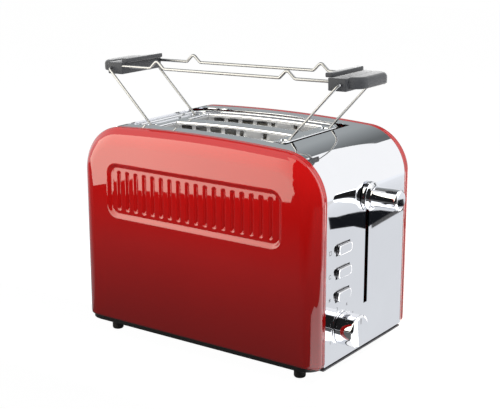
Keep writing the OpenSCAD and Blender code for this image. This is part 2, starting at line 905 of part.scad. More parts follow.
// Carriage that slides on both rods and carries the lever and the lifters
module carriage_plate() {
    color(steel) difference() {
        block([rod_x - carriage_t / 2, -carriage_w / 2, carriage_low],
            [rod_x + carriage_t / 2, carriage_w / 2, carriage_low + carriage_h]);
        for (y = [-rod_y, rod_y])
            translate([rod_x, y, carriage_low - past]) cylinder(d = rod_d + 2 * run_clear, h = carriage_h + 2 * past);
    }
}

module lever_arm() {
    color(steel) block([rod_x + carriage_t / 2, -arm_t / 2, lever_z - arm_h / 2],
        [panel_x + arm_grip, arm_t / 2, lever_z + arm_h / 2]);
}

// Pocket that takes the lever's arm
module arm_pocket() {
    block([panel_in, -arm_t / 2 - arm_fit, lever_z - arm_h / 2 - arm_fit],
        [panel_x + arm_grip + arm_fit, arm_t / 2 + arm_fit, lever_z + arm_h / 2 + arm_fit]);
}

// Flared collar between panel and handle
module lever_collar() {
    x = panel_x + collar_gap;
    wide = collar_d / 2;
    narrow = lever_d / 2 + 1;
    outline = concat(
        [[0, 0], [wide - 1, 0], [wide, 1], [wide, collar_t / 2]],
        [for (q = arc([wide, collar_t], collar_t / 2, 270, 195, 5)) [max(q[0], narrow), q[1]]],
        [[narrow, collar_t], [0, collar_t]]
    );
    color(bright) difference() {
        translate([x, 0, lever_z]) rotate([0, 90, 0]) rotate_extrude() polygon(outline);
        arm_pocket();
    }
}

// Round handle with a chamfered end
module lever_knob() {
    x = panel_x + collar_gap + collar_t;
    chamfer = 1.2;
    length = panel_x + lever_out - x;
    outline = [[0, 0], [lever_d / 2, 0], [lever_d / 2, length - chamfer], [lever_d / 2 - chamfer, length], [0, length]];
    color(bright) difference() {
        translate([x, 0, lever_z]) rotate([0, 90, 0]) rotate_extrude() polygon(outline);
        arm_pocket();
    }
}

// Bar with cross tines that carries the bread in one slot
module bread_lifter(y) {
    top = carriage_low + lifter_h;
    color(steel) translate([0, y, 0]) {
        block([lifter_x0, -lifter_t / 2, carriage_low], [rod_x - carriage_t / 2, lifter_t / 2, top]);
        for (i = [0:tine_count - 1])
            translate([slot_x + (i - (tine_count - 1) / 2) * tine_pitch, 0, top - tine_t])
                block([-tine_t / 2, -tine_w / 2, 0], [tine_t / 2, tine_w / 2, tine_t]);
    }
}

module bread_lifter_near() {
    bread_lifter(-slot_pitch / 2);
}

module bread_lifter_far() {
    bread_lifter(slot_pitch / 2);
}

module latch_armature() {
    color(steel) block([rod_x - core_size[0], -core_size[1] / 2 - 2, carriage_low - armature_t],
        [rod_x + core_size[0], core_size[1] / 2 + 2, carriage_low]);
}

// Return spring over the carriage, drawn as the tube that it fills
module return_spring() {
    low = carriage_low + carriage_h + spring_end;
    color(steel) translate([rod_x, 0, low]) difference() {
        cylinder(d = spring_od, h = shelf_z - spring_end - low);
        translate([0, 0, -past]) cylinder(d = spring_od - 2 * spring_wire, h = shelf_z - low + past);
    }
}

module magnet_core() {
    color(steel) block([rod_x - core_size[0] / 2, -core_size[1] / 2, sill_z],
        [rod_x + core_size[0] / 2, core_size[1] / 2, latch_top]);
}

module magnet_coil() {
    fit = 0.1;
    color(copper) difference() {
        block([rod_x - coil_size[0] / 2, -coil_size[1] / 2, sill_z], [rod_x + coil_size[0] / 2, coil_size[1] / 2, latch_top - 2]);
        block([rod_x - core_size[0] / 2 - fit, -core_size[1] / 2 - fit, sill_z - past],
            [rod_x + core_size[0] / 2 + fit, core_size[1] / 2 + fit, latch_top]);
    }
}

// Control board behind the buttons, on the guide's posts
module control_board() {
    color(green) difference() {
        block([board_x - board_t, button_y - guide_w / 2, board_low], [board_x, board_edge_y, guide_high]);
        for (p = post_places)
            round_x(board_x - board_t - past, board_x + past, p[0], p[1], board_screw_d + 2 * board_screw_fit);
    }
}

module tact_switches() {
    color(black) for (z = button_zs) {
        block([board_x, button_y - switch_w / 2, z - switch_w / 2],
            [board_x + switch_h - plunger_h, button_y + switch_w / 2, z + switch_w / 2]);
        round_x(board_x + switch_h - plunger_h, board_x + switch_h, button_y, z, plunger_d);
    }
}

// Moulded guide behind the panel with a window for each button and posts for the board
module button_guide() {
    window = [button_w + 2 * button_clear, button_h + 2 * button_clear];
    color(black) difference() {
        union() {
            block([guide_x, button_y - guide_w / 2, guide_low], [panel_in, button_y + guide_w / 2, guide_high]);
            for (p = post_places) round_x(board_x, guide_x, p[0], p[1], post_d);
        }
        for (z = button_zs)
            block([guide_x - past, button_y - window[0] / 2, z - window[1] / 2],
                [panel_in + past, button_y + window[0] / 2, z + window[1] / 2]);
        for (p = post_places)
            round_x(board_x - past, board_x + board_screw_l, p[0], p[1], board_screw_d + 2 * board_screw_fit);
    }
}

// Push button with a chamfered face and a retaining flange behind the guide
module button(z) {
    face_x = panel_x + button_out;
    size = [button_w, button_h];
    small = size - 2 * button_chamfer * [1, 1];
    flange = size + 2 * flange_rim * [1, 1];
    color(bright) translate([0, button_y, z]) {
        along_x(flange_x + flange_t, face_x - button_chamfer) polygon(round_rect(size[0], size[1], button_corner));
        along_x(flange_x, flange_x + flange_t) square(flange, center = true);
        hull() {
            along_x(face_x - button_chamfer - 0.01, face_x - button_chamfer)
                polygon(round_rect(size[0], size[1], button_corner));
            along_x(face_x - 0.01, face_x) polygon(round_rect(small[0], small[1], button_corner - button_chamfer / 2));
        }
    }
}

module stop_button() {
    button(button_zs[0]);
}

module reheat_button() {
    button(button_zs[1]);
}

module defrost_button() {
    button(button_zs[2]);
}

module board_screws() {
    color(steel) for (p = post_places) {
        round_x(board_x - board_t - 1.4, board_x - board_t, p[0], p[1], board_screw_head);
        round_x(board_x - board_t, board_x + board_screw_l - gap, p[0], p[1], board_screw_d);
    }
}

// Browning control on the board, with its bush through the panel
module potentiometer() {
    color(steel) difference() {
        union() {
            round_x(board_x, board_x + pot_l, knob_y, knob_z, pot_d);
            round_x(board_x + pot_l, panel_x + bush_out, knob_y, knob_z, bush_d);
        }
        round_x(board_x + pot_l / 2, panel_x + bush_out + past, knob_y, knob_z, shaft_d + 2 * shaft_fit);
    }
}

module knob_shaft() {
    color(bright) round_x(board_x + pot_l / 2 + gap, panel_x + ring_t + knob_gap + knob_grip, knob_y, knob_z, shaft_d);
}

// Browning knob with a chamfered face and a pointer groove
module browning_knob() {
    x = panel_x + ring_t + knob_gap;
    length = knob_out - ring_t - knob_gap;
    r = knob_d / 2;
    outline = [[0, 0], [r, 0], [r, length - knob_chamfer], [r - knob_chamfer, length], [0, length]];
    color(bright) difference() {
        translate([x, knob_y, knob_z]) rotate([0, 90, 0]) rotate_extrude() polygon(outline);
        round_x(x - past, x + knob_grip + shaft_fit, knob_y, knob_z, shaft_d + shaft_fit);
        block([x + length - 0.6, knob_y - 0.7, knob_z + r / 2], [x + length + past, knob_y + 0.7, knob_z + r]);
    }
}

module knob_ring() {
    color(bright) difference() {
        round_x(panel_x, panel_x + ring_t, knob_y, knob_z, knob_ring_d);
        round_x(panel_x - past, panel_x + ring_t + past, knob_y, knob_z, bush_d + 2 * bush_clear);
    }
}

// Puts the rack, drawn about its middle at the pivots' height, on the casing
module on_rack() {
    translate([rack_x, 0, pivot_z]) rotate([0, -rack_tilt, 0]) children();
}

// Wire rail with a peak near each end
module rack_rail(y) {
    half = bracket_in + rail_seat;
    peak = [[-peak_l / 2, 0], [0, peak_h], [peak_l / 2, 0]];
    corners = concat(
        [[-half, 0]],
        [for (q = peak) q - [peak_x, 0]],
        [for (q = peak) q + [peak_x, 0]],
        [[half, 0]]
    );
    bends = [for (i = [1:len(corners) - 2]) bend(corners[i - 1], corners[i], corners[i + 1], peak_bend)];
    path = concat([corners[0]], [for (b = bends, q = b) q], [corners[len(corners) - 1]]);
    color(bright) on_rack() translate([0, y, rail_rise]) swept_wire(path, wire_d);
}

module rack_rail_near() {
    rack_rail(-rail_y);
}

module rack_rail_far() {
    rack_rail(rail_y);
}

// Black handle at the front end: bracket, ridge and rounded grip
module rack_handle() {
    grip = concat(
        [[bracket_out - past, grip_w / 2]],
        [[bracket_out - past, -grip_w / 2]],
        arc([rack_reach - grip_corner, grip_corner - grip_w / 2], grip_corner, 270, 360),
        arc([rack_reach - grip_corner, grip_w / 2 - grip_corner], grip_corner, 0, 90)
    );
    difference() {
        union() {
            block([bracket_in, -bracket_w / 2, bracket_low], [bracket_out, bracket_w / 2, bracket_high]);
            block([ridge_in, -ridge_w / 2, rail_rise + wire_d], [ridge_out, ridge_w / 2, ridge_high]);
            translate([0, 0, grip_low]) linear_extrude(grip_t) polygon(grip);
        }
        for (y = [-rail_y, rail_y])
            round_x(bracket_in - past, bracket_in + rail_seat + rail_fit, y, rail_rise, wire_d + 2 * rail_fit);
        translate([pivot_x, 0, 0]) rotate([90, 0, 0])
            cylinder(d = wire_d + 2 * pivot_fit, h = bracket_w + 2 * past, center = true);
    }
}

module rack_handle_front() {
    color(black) on_rack() rack_handle();
}

module rack_handle_rear() {
    color(black) on_rack() mirror([1, 0, 0]) rack_handle();
}

// Wire leg at the front end, hinged by its cross bar in the bracket
module rack_leg() {
    bar = leg_y - leg_bend;
    translate([pivot_x, 0, 0]) rotate([0, 180 - leg_angle, 0]) {
        rotate([90, 0, 0]) cylinder(d = wire_d, h = 2 * bar, center = true);
        for (side = [0, 1]) mirror([0, side, 0]) {
            translate([leg_bend, bar, 0]) rotate([0, 0, 90])
                rotate_extrude(angle = 90) translate([leg_bend, 0]) circle(d = wire_d);
            translate([leg_bend, leg_y, 0]) rotate([0, 90, 0]) cylinder(d = wire_d, h = leg_l - leg_bend);
        }
    }
}

module rack_leg_front() {
    color(bright) on_rack() rack_leg();
}

module rack_leg_rear() {
    color(bright) on_rack() mirror([1, 0, 0]) rack_leg();
}

side_shell_near();
side_shell_far();
chrome_band();
slot_frame();
base_plate();
rubber_feet();
base_screws();
crumb_tray();
crumb_tray_handle();
cord_gland();
front_bulkhead();
rear_bulkhead();
reflector_near();
reflector_far();
mica_near();
mica_centre();
mica_far();
heater_near();
heater_centre();
heater_far();
guard_near_outer();
guard_near_inner();
guard_far_inner();
guard_far_outer();
guide_rods();
carriage_plate();
lever_arm();
lever_collar();
lever_knob();
bread_lifter_near();
bread_lifter_far();
latch_armature();
return_spring();
magnet_core();
magnet_coil();
control_board();
tact_switches();
button_guide();
stop_button();
reheat_button();
defrost_button();
board_screws();
potentiometer();
knob_shaft();
browning_knob();
knob_ring();
rack_rail_near();
rack_rail_far();
rack_handle_front();
rack_handle_rear();
rack_leg_front();
rack_leg_rear();
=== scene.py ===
from math import asin, ceil, cos, degrees, dist, hypot, pi, radians, sin, sqrt, tan

import bmesh
import bpy
from bpy.props import FloatProperty, FloatVectorProperty, IntProperty, PointerProperty
from mathutils import Matrix, Vector


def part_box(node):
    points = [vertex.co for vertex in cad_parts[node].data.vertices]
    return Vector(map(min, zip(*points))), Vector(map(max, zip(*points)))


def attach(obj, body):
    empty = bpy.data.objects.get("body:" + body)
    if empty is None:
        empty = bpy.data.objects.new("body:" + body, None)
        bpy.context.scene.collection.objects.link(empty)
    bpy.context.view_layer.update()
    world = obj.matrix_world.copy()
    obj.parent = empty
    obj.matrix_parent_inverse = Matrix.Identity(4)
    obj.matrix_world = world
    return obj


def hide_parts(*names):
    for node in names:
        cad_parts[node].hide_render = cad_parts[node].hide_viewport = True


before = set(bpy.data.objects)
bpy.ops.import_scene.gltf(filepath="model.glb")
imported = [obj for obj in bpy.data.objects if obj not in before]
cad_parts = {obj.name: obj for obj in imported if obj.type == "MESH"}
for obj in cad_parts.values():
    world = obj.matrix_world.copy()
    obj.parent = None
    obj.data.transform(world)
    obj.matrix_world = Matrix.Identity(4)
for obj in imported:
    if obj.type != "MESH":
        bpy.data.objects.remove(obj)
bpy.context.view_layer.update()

bl_info = {
    "name": "Two-slot toaster",
    "version": (1, 0, 0),
    "blender": (4, 5, 0),
    "location": "View3D > Sidebar > Toaster",
    "description": "Finishes the toaster's surfaces over its packed frame and sets the studio",
    "category": "Object",
}

MM = 0.001
WELD = 2e-6  # points closer than this are one
PRINT_LIFT = 0.03 * MM  # printed marks over the panel
RIM_PLAY = 0.6 * MM  # the band's opening before the slot frame's solid


def corners(node):
    """Lowest and highest corner of a node's box."""
    return [Vector(v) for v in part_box(node)]


BAND_LOW, BAND_HIGH = corners("chrome_band")
SHELL_LOW = corners("side_shell_near")[0]
RIM_LOW, RIM_HIGH = corners("slot_frame")


def length(name, description, millimetres):
    """A length property whose default is given in millimetres."""
    return FloatProperty(name=name, description=description, default=millimetres * MM, unit="LENGTH",
                         precision=5)


def colour(name, description, value):
    """A linear RGB colour property."""
    return FloatVectorProperty(name=name, description=description, default=value, size=3, subtype="COLOR",
                               min=0, max=1)


class CasingSettings(bpy.types.PropertyGroup):
    """Sizes of the shells, the bright band and the slot frame."""

    crown_radius: length("Crown radius", "Radius of the gently arched top", 1400)
    corner_radius: length("Corner radius", "Radius of the upper corners seen from the side", 40)
    edge_radius: length("Edge radius", "Radius of the shells' rounded edges", 15.5)
    heel_radius: length("Heel radius", "Turn-under of the shells' lower edge at the ends", 5.5)
    hem_radius: length("Hem radius", "Turn-under of the shells' lower edge along the side", 2.4)
    edge_lip: length("Edge lip", "How far the shells' edges lie over the band", 1.2)
    edge_fullness: length("Edge fullness", "How much fuller than round the shells' edges are beside the band",
                          0.95)
    side_lift: length("Side lift", "Shells' lower edge above the band's, along the sides", 3.6)
    vent_length: length("Vent length", "Length of the pressed panel", 180)
    vent_height: length("Vent height", "Height of the pressed panel", 47)
    vent_centre: length("Vent centre", "Height of the pressed panel's middle", 134)
    vent_depth: length("Vent depth", "Depth of the pressed panel", 2.4)
    vent_bevel: length("Vent bevel", "Width of the panel's sloping border", 2.5)
    vent_corner: length("Vent corner", "Corner radius of the pressed panel", 10)
    flute_count: IntProperty(name="Flutes", description="Upright flutes in the panel", default=18, min=1)
    flute_pitch: length("Flute pitch", "Distance from flute to flute", 9.24)
    flute_radius: length("Flute radius", "Half the width of a flute", 2.2)
    flute_height: length("Flute height", "Height of a flute", 35)
    slot_length: length("Slot length", "Length of a bread slot", 124)
    slot_width: length("Slot width", "Width of a bread slot", 32)
    slot_pitch: length("Slot pitch", "Distance between the slots' middles", 48)
    slot_corner: length("Slot corner", "Corner radius of a bread slot", 2.2)
    frame_corner: length("Frame corner", "Corner radius of the slot frame", 14)
    frame_gap: length("Frame gap", "Gap along the slot frame in the band", 2.2)
    front_gap: length("Front gap", "Dark gap before the slot frame's front edge", 4.8)
    arch_middle: length("Arch middle", "Place of the slot frame's highest point along the toaster", 16)
    socket_reach: length("Socket reach", "Sockets from the middle of the slots", 70.2)
    socket_spread: length("Socket spread", "Sockets from the middle across the toaster", 31.5)
    socket_length: length("Socket length", "Length of a socket for the rack's feet", 8.8)
    socket_width: length("Socket width", "Width of a socket for the rack's feet", 4.6)
    foot_radius: length("Foot radius", "Radius of a rubber foot", 5)
    red: colour("Enamel red", "Colour of the side shells", (0.44, 0.0055, 0.005))
    chrome: colour("Bright plate", "Colour of the polished band", (0.86, 0.87, 0.9))
    black: colour("Black plastic", "Colour of base, handles and feet", (0.012, 0.012, 0.013))


class ControlSettings(bpy.types.PropertyGroup):
    """Sizes of the lever, the buttons and the browning knob."""

    lever_radius: length("Lever radius", "Radius of the lever's handle", 8.5)
    lever_reach: length("Lever reach", "How far the drawn handle ends beyond its solid", 4.2)
    collar_radius: length("Collar radius", "Radius of the lever's flared collar", 12.5)
    button_corner: length("Button corner", "Corner radius of a button", 3.4)
    knob_radius: length("Knob radius", "Radius of the browning knob", 13.5)
    digit_height: length("Digit height", "Height of the browning figures", 3.2)
    print_grey: colour("Print grey", "Colour of the printed marks", (0.1, 0.1, 0.11))


class RackSettings(bpy.types.PropertyGroup):
    """Sizes of the roll rack."""

    rail_radius: length("Rail radius", "Radius of the rails' wire", 1.3)
    leg_radius: length("Leg radius", "Radius of the legs' wire", 1.1)
    pivot_height: length("Pivot height", "Height of the legs' pivots", 233.4)
    middle: length("Rack middle", "Middle of the rack along the toaster", -8.5)
    pivot_reach: length("Pivot reach", "Pivots from the rack's middle", 119.3)
    rail_spread: length("Rail spread", "Rails from the middle", 26)
    rail_rise: length("Rail rise", "Rails above the pivots", 1.8)
    peak_reach: length("Peak reach", "Peaks from the rack's middle", 68)
    peak_height: length("Peak height", "Height of the rails' peaks", 7)
    peak_length: length("Peak length", "Length of a rail's peak", 15)
    grip_reach: length("Grip reach", "Ends of the handles from the rack's middle", 136.5)
    grip_width: length("Grip width", "Width of a handle's tongue", 48)
    grip_corner: length("Grip corner", "Corner radius of a handle's tongue", 10.5)
    tilt: FloatProperty(name="Tilt", description="Tilt of the rack on the casing", default=radians(1.4),
                        subtype="ANGLE")


class StageSettings(bpy.types.PropertyGroup):
    """Camera and studio light."""

    lens: FloatProperty(name="Lens", description="Focal length of the camera", default=84.58, unit="CAMERA")
    eye: FloatVectorProperty(name="Eye", description="Place of the camera", default=(0.5774, -0.8159, 0.3796),
                             subtype="TRANSLATION")
    aim: FloatVectorProperty(name="Aim", description="Point that the camera looks at",
                             default=(0.00293, 0.00212, 0.11688), subtype="TRANSLATION")
    key_power: FloatProperty(name="Key light", description="Power of the softbox along each side", default=1.8,
                             unit="POWER")
    world_light: FloatProperty(name="Room light", description="Strength of the room's light", default=0.15)


# Shapes


def arc(cx, cy, r, a0, a1, n):
    """Points on an arc, angles in degrees."""
    turns = [radians(a0 + (a1 - a0) * i / n) for i in range(n + 1)]
    return [(cx + r * cos(a), cy + r * sin(a)) for a in turns]


def round_rect(cx, cy, l, w, r, n=8):
    """Outline of a rounded rectangle, counter-clockwise."""
    x, y = l / 2 - r, w / 2 - r
    return (arc(cx + x, cy + y, r, 0, 90, n) + arc(cx - x, cy + y, r, 90, 180, n)
            + arc(cx - x, cy - y, r, 180, 270, n) + arc(cx + x, cy - y, r, 270, 360, n))


def dense(loop, step):
    """A closed outline with points no further apart than step."""
    out = []
    for a, b in zip(loop, loop[1:] + loop[:1]):
        n = max(1, ceil(dist(a, b) / step - 1e-6))
        out += [tuple(a[k] + (b[k] - a[k]) * i / n for k in range(len(a))) for i in range(n)]
    return out


def link_rows(bm, rows, closed=False):
    """Faces between rows of vertices of equal length."""
    for a, b in zip(rows, rows[1:]):
        n = len(a)
        for i in range(n if closed else n - 1):
            quad = list(dict.fromkeys((a[i], a[(i + 1) % n], b[(i + 1) % n], b[i])))
            if len(quad) > 2:
                bm.faces.new(quad)


def rounded_rows(bm, centre, size, r, profile, at, step=4 * MM, n=8):
    """Rings of vertices round a rounded rectangle, one for each (growth, level) of a profile."""
    (cx, cy), (l, w) = centre, size
    hx, hy = l / 2 - r, w / 2 - r
    loop = dense(round_rect(cx, cy, l, w, r, n), step)
    rows = []
    for grow, level in profile:
        row = []
        for x, y in loop:
            ax, ay = max(-hx, min(hx, x - cx)), max(-hy, min(hy, y - cy))
            way = Vector((x - cx - ax, y - cy - ay)).normalized() * (r + grow)
            row.append(bm.verts.new(at(cx + ax + way.x, cy + ay + way.y, level)))
        rows.append(row)
    return rows


def rounded_skin(bm, *plan, **steps):
    """Rings round a rounded rectangle with the faces between them."""
    rows = rounded_rows(bm, *plan, **steps)
    link_rows(bm, rows, closed=True)
    return rows


def loop_edges(bm, verts):
    """Edges round a closed loop of vertices."""
    return [bm.edges.get(pair) or bm.edges.new(pair) for pair in zip(verts, verts[1:] + verts[:1])]


def fill_between(bm, *loops):
    """Flat faces inside the first loop and outside the others."""
    edges = [e for loop in loops for e in loop_edges(bm, loop)]
    bmesh.ops.triangle_fill(bm, edges=edges, use_beauty=True, use_dissolve=False)


def even_faces(bm):
    """Turns all faces of a closed shape outwards, or those of a sheet all one way."""
    bmesh.ops.recalc_face_normals(bm, faces=bm.faces)


def face_out(bm, place, way):
    """Turns all faces so that the one nearest to a place looks along a direction."""
    bmesh.ops.remove_doubles(bm, verts=bm.verts, dist=WELD)
    even_faces(bm)
    face = min(bm.faces, key=lambda f: (f.calc_center_median() - Vector(place)).length)
    if face.normal.dot(way) < 0:
        bmesh.ops.reverse_faces(bm, faces=bm.faces)


def shape_mesh(name, bm):
    """A mesh of a bmesh, which is freed."""
    mesh = bpy.data.meshes.new(name)
    bm.to_mesh(mesh)
    bm.free()
    return mesh


def placed(name, data):
    """A new object in the scene."""
    obj = bpy.data.objects.new(name, data)
    bpy.context.scene.collection.objects.link(obj)
    return obj


def piece(name, bm, finish_name, sharp=35):
    """A finished mesh object at the origin, smooth but for edges sharper than the angle."""
    mesh = shape_mesh(name, bm)
    mesh.materials.append(FINISHES[finish_name])
    mesh.shade_smooth()
    mesh.set_sharp_from_angle(angle=radians(sharp))
    return placed(name, mesh)


def add_mesh(bm, mesh):
    """Adds a mesh's faces to a bmesh and removes the mesh."""
    bm.from_mesh(mesh)
    bpy.data.meshes.remove(mesh)


def join_bm(bm, other):
    """Adds another bmesh's faces and frees it."""
    add_mesh(bm, shape_mesh("part", other))


def as_made(obj):
    """A mesh of an object with its modifiers applied."""
    return bpy.data.meshes.new_from_object(obj.evaluated_get(bpy.context.evaluated_depsgraph_get()))


def thicken(obj, depth):
    """Gives a sheet its wall, inwards, and applies it."""
    wall = obj.modifiers.new("wall", "SOLIDIFY")
    wall.thickness = depth
    wall.offset = -1
    wall.use_rim = True
    baked = as_made(obj)
    obj.modifiers.remove(wall)
    obj.data = baked
    return obj


def settle(obj, body, slot, *nodes):
    """Rides a piece on its body and hides the nodes that it stands for; slot is not used."""
    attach(obj, body)
    if nodes:
        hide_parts(*nodes)


def circle(n):
    """Cosine and sine at n even steps round a circle."""
    return [(cos(2 * pi * i / n), sin(2 * pi * i / n)) for i in range(n)]


def steps_from(x, r, steps):
    """Points of an outline, in millimetres from x along it and from r across it."""
    return [(x + a * MM, r + b * MM) for a, b in steps]


def lathe(outline, place, turn_to="X", n=96):
    """Solid of revolution from (distance along the axis, radius) points."""
    bm = bmesh.new()
    rows = []
    for along, r in outline:
        if r < 1e-7:
            rows.append([bm.verts.new((along, 0, 0))] * n)
        else:
            rows.append([bm.verts.new((along, r * u, r * v)) for u, v in circle(n)])
    link_rows(bm, rows, closed=True)
    even_faces(bm)
    turn = Matrix.Rotation(radians(-90), 4, "Y") if turn_to == "Z" else Matrix.Identity(4)
    bm.transform(Matrix.Translation(place) @ turn)
    return bm


def tube(path, r, n=16):
    """Round wire along a path, with slightly domed ends."""
    path = [Vector(p) for p in path]
    bm = bmesh.new()
    ways = [(b - a).normalized() for a, b in zip(path, path[1:])]
    ways = [ways[0]] + [(a + b).normalized() for a, b in zip(ways, ways[1:])] + [ways[-1]]
    side = ways[0].orthogonal().normalized()
    rows = []
    for i, (p, way) in enumerate(zip(path, ways)):
        side = (side - way * side.dot(way)).normalized()
        up = way.cross(side)
        ring = [side * u + up * v for u, v in circle(n)]
        ends = [(0.0, 1.0)]
        if i == 0:
            ends = [(-0.25, 0.0), (-0.22, 0.55), (0.0, 0.95), (0.12, 1.0)]
        if i == len(path) - 1:
            ends = [(-0.12, 1.0), (0.0, 0.95), (0.22, 0.55), (0.25, 0.0)]
        for along, wide in ends:
            centre = p + way * along * r
            if wide == 0.0:
                rows.append([bm.verts.new(centre)] * n)
            else:
                rows.append([bm.verts.new(centre + v * r * wide) for v in ring])
    link_rows(bm, rows, closed=True)
    even_faces(bm)
    return bm


def bent(points, r, n=8):
    """A path through points whose inner corners are rounded to radius r."""
    pts = [Vector(p) for p in points]
    out = [pts[0]]
    for a, b, c in zip(pts, pts[1:], pts[2:]):
        u, v = (a - b).normalized(), (c - b).normalized()
        half = u.angle(v) / 2
        trim = r / tan(half)
        centre = b + (u + v).normalized() * r / sin(half)
        start, end = b + u * trim - centre, b + v * trim - centre
        swing = start.angle(end)
        for i in range(n + 1):
            f = i / n
            turned = start * sin((1 - f) * swing) + end * sin(f * swing)
            out.append(centre + turned / sin(swing))
    out.append(pts[-1])
    return out


def round_off(bm, edges, width, segments):
    """Rounds edges by a bevel of the given width."""
    bmesh.ops.bevel(bm, geom=edges, offset=width, segments=segments, profile=0.5, affect="EDGES",
                    clamp_overlap=True)


def slab(outline, low, high, bevel, segments=3):
    """Upright block over an outline in X and Y, with rounded edges."""
    bm = bmesh.new()
    face = bm.faces.new([bm.verts.new((x, y, low)) for x, y in outline])
    lifted = bmesh.ops.extrude_face_region(bm, geom=[face])["geom"]
    top = [v for v in lifted if isinstance(v, bmesh.types.BMVert)]
    bmesh.ops.translate(bm, verts=top, vec=(0, 0, high - low))
    even_faces(bm)
    if bevel > 0:
        edges = [e for e in bm.edges if e.calc_face_angle(0) > radians(40)]
        round_off(bm, edges, bevel, segments)
    return bm


TO_YZ = Matrix(((0, 0, 1, 0), (1, 0, 0, 0), (0, 1, 0, 0), (0, 0, 0, 1)))


def along_x(bm, x):
    """Turns a slab drawn in X and Y so that it is drawn in Y and Z and its height runs along +X from x."""
    bm.transform(Matrix.Translation((x, 0, 0)) @ TO_YZ)
    return bm


# Node trees


def put(node, **values):
    """Sets values on a node's inputs, whose names are given with underscores for spaces."""
    for name, value in values.items():
        node.inputs[name.replace("_", " ")].default_value = value
    return node


def add(nodes, kind, **values):
    """A new node with values on its inputs."""
    return put(nodes.new(kind), **values)


def row_tree(name, finish_name):
    """A node tree that repeats its mesh along a line: Count, Start and Step."""
    tree = bpy.data.node_groups.new(name, "GeometryNodeTree")
    sockets = [tree.interface.new_socket(label, in_out=way, socket_type="NodeSocket" + kind).identifier
               for label, way, kind in (("Geometry", "INPUT", "Geometry"), ("Count", "INPUT", "Int"),
                                        ("Start", "INPUT", "Vector"), ("Step", "INPUT", "Vector"),
                                        ("Geometry", "OUTPUT", "Geometry"))]
    nodes = tree.nodes
    given, result = nodes.new("NodeGroupInput"), nodes.new("NodeGroupOutput")
    line, copies, real = (nodes.new("GeometryNode" + kind)
                          for kind in ("MeshLine", "InstanceOnPoints", "RealizeInstances"))
    line.mode = "OFFSET"
    weld = add(nodes, "GeometryNodeMergeByDistance", Distance=WELD)
    paint = add(nodes, "GeometryNodeSetMaterial", Material=FINISHES[finish_name])
    for a, out, b, into in (
        (given, "Count", line, "Count"), (given, "Start", line, "Start Location"),
        (given, "Step", line, "Offset"), (line, "Mesh", copies, "Points"),
        (given, "Geometry", copies, "Instance"), (copies, "Instances", real, "Geometry"),
        (real, "Geometry", weld, "Geometry"),
        (weld, "Geometry", paint, "Geometry"), (paint, "Geometry", result, "Geometry"),
    ):
        tree.links.new(a.outputs[out], b.inputs[into])
    return tree, sockets[1:4]


def row_of(name, bm, finish_name, count, start, step):
    """Mesh of count copies of a shape, made by a node tree on a carrier object."""
    carrier = placed(name, shape_mesh(name, bm))
    tree, sockets = row_tree(name, finish_name)
    row = carrier.modifiers.new("row", "NODES")
    row.node_group = tree
    for socket, value in zip(sockets, (count, start, step)):
        row[socket] = value
    baked = as_made(carrier)
    carrier.modifiers.remove(row)
    bpy.data.objects.remove(carrier)
    bpy.data.node_groups.remove(tree)
    return baked


# Finishes


def material(name):
    """A new material with its nodes and the function that links them."""
    mat = bpy.data.materials.new(name)
    mat.use_nodes = True
    return mat, mat.node_tree.nodes, mat.node_tree.links.new


def finish(name, base, metallic=0.0, roughness=0.4, coat=0.0, coat_roughness=0.03, coat_ior=1.5, specular=0.5,
           mottle=0.04, mottle_scale=30.0, grain=0.0, grain_scale=900.0, spread=0.04, sheen=0.0,
           stretch=(1, 1, 1)):
    """A procedural finish: mottled colour, uneven roughness and a fine grain, all on Object coordinates."""
    mat, nodes, link = material(name)
    shader = put(nodes["Principled BSDF"], Metallic=metallic, Sheen_Weight=sheen, Sheen_Roughness=0.3,
                 Coat_Weight=coat, Coat_Roughness=coat_roughness, Coat_IOR=coat_ior,
                 Specular_IOR_Level=specular)
    turn = add(nodes, "ShaderNodeMapping", Scale=stretch)
    link(nodes.new("ShaderNodeTexCoord").outputs["Object"], turn.inputs["Vector"])
    cloud = add(nodes, "ShaderNodeTexNoise", Scale=mottle_scale, Detail=5)
    link(turn.outputs["Vector"], cloud.inputs["Vector"])
    ramp = nodes.new("ShaderNodeValToRGB")
    for stop, place, change in zip(ramp.color_ramp.elements, (0.3, 0.7), (1 - mottle, 1 + mottle)):
        stop.position = place
        stop.color = (*[min(1, c * change) for c in base], 1)
    link(cloud.outputs["Fac"], ramp.inputs["Fac"])
    link(ramp.outputs["Color"], shader.inputs["Base Color"])
    uneven = add(nodes, "ShaderNodeMapRange", From_Min=0.3, From_Max=0.7,
                 To_Min=max(0.0, roughness * (1 - spread)), To_Max=roughness * (1 + spread))
    link(cloud.outputs["Fac"], uneven.inputs["Value"])
    link(uneven.outputs["Result"], shader.inputs["Roughness"])
    if grain > 0:
        fine = add(nodes, "ShaderNodeTexNoise", Scale=grain_scale, Detail=3)
        link(turn.outputs["Vector"], fine.inputs["Vector"])
        bump = add(nodes, "ShaderNodeBump", Strength=grain, Distance=0.0002)
        link(fine.outputs["Fac"], bump.inputs["Height"])
        link(bump.outputs["Normal"], shader.inputs["Normal"])
    return mat


def metal(name, base, **look):
    """A bare metal finish."""
    return finish(name, base, metallic=1.0, **look)


FINISHES = {}


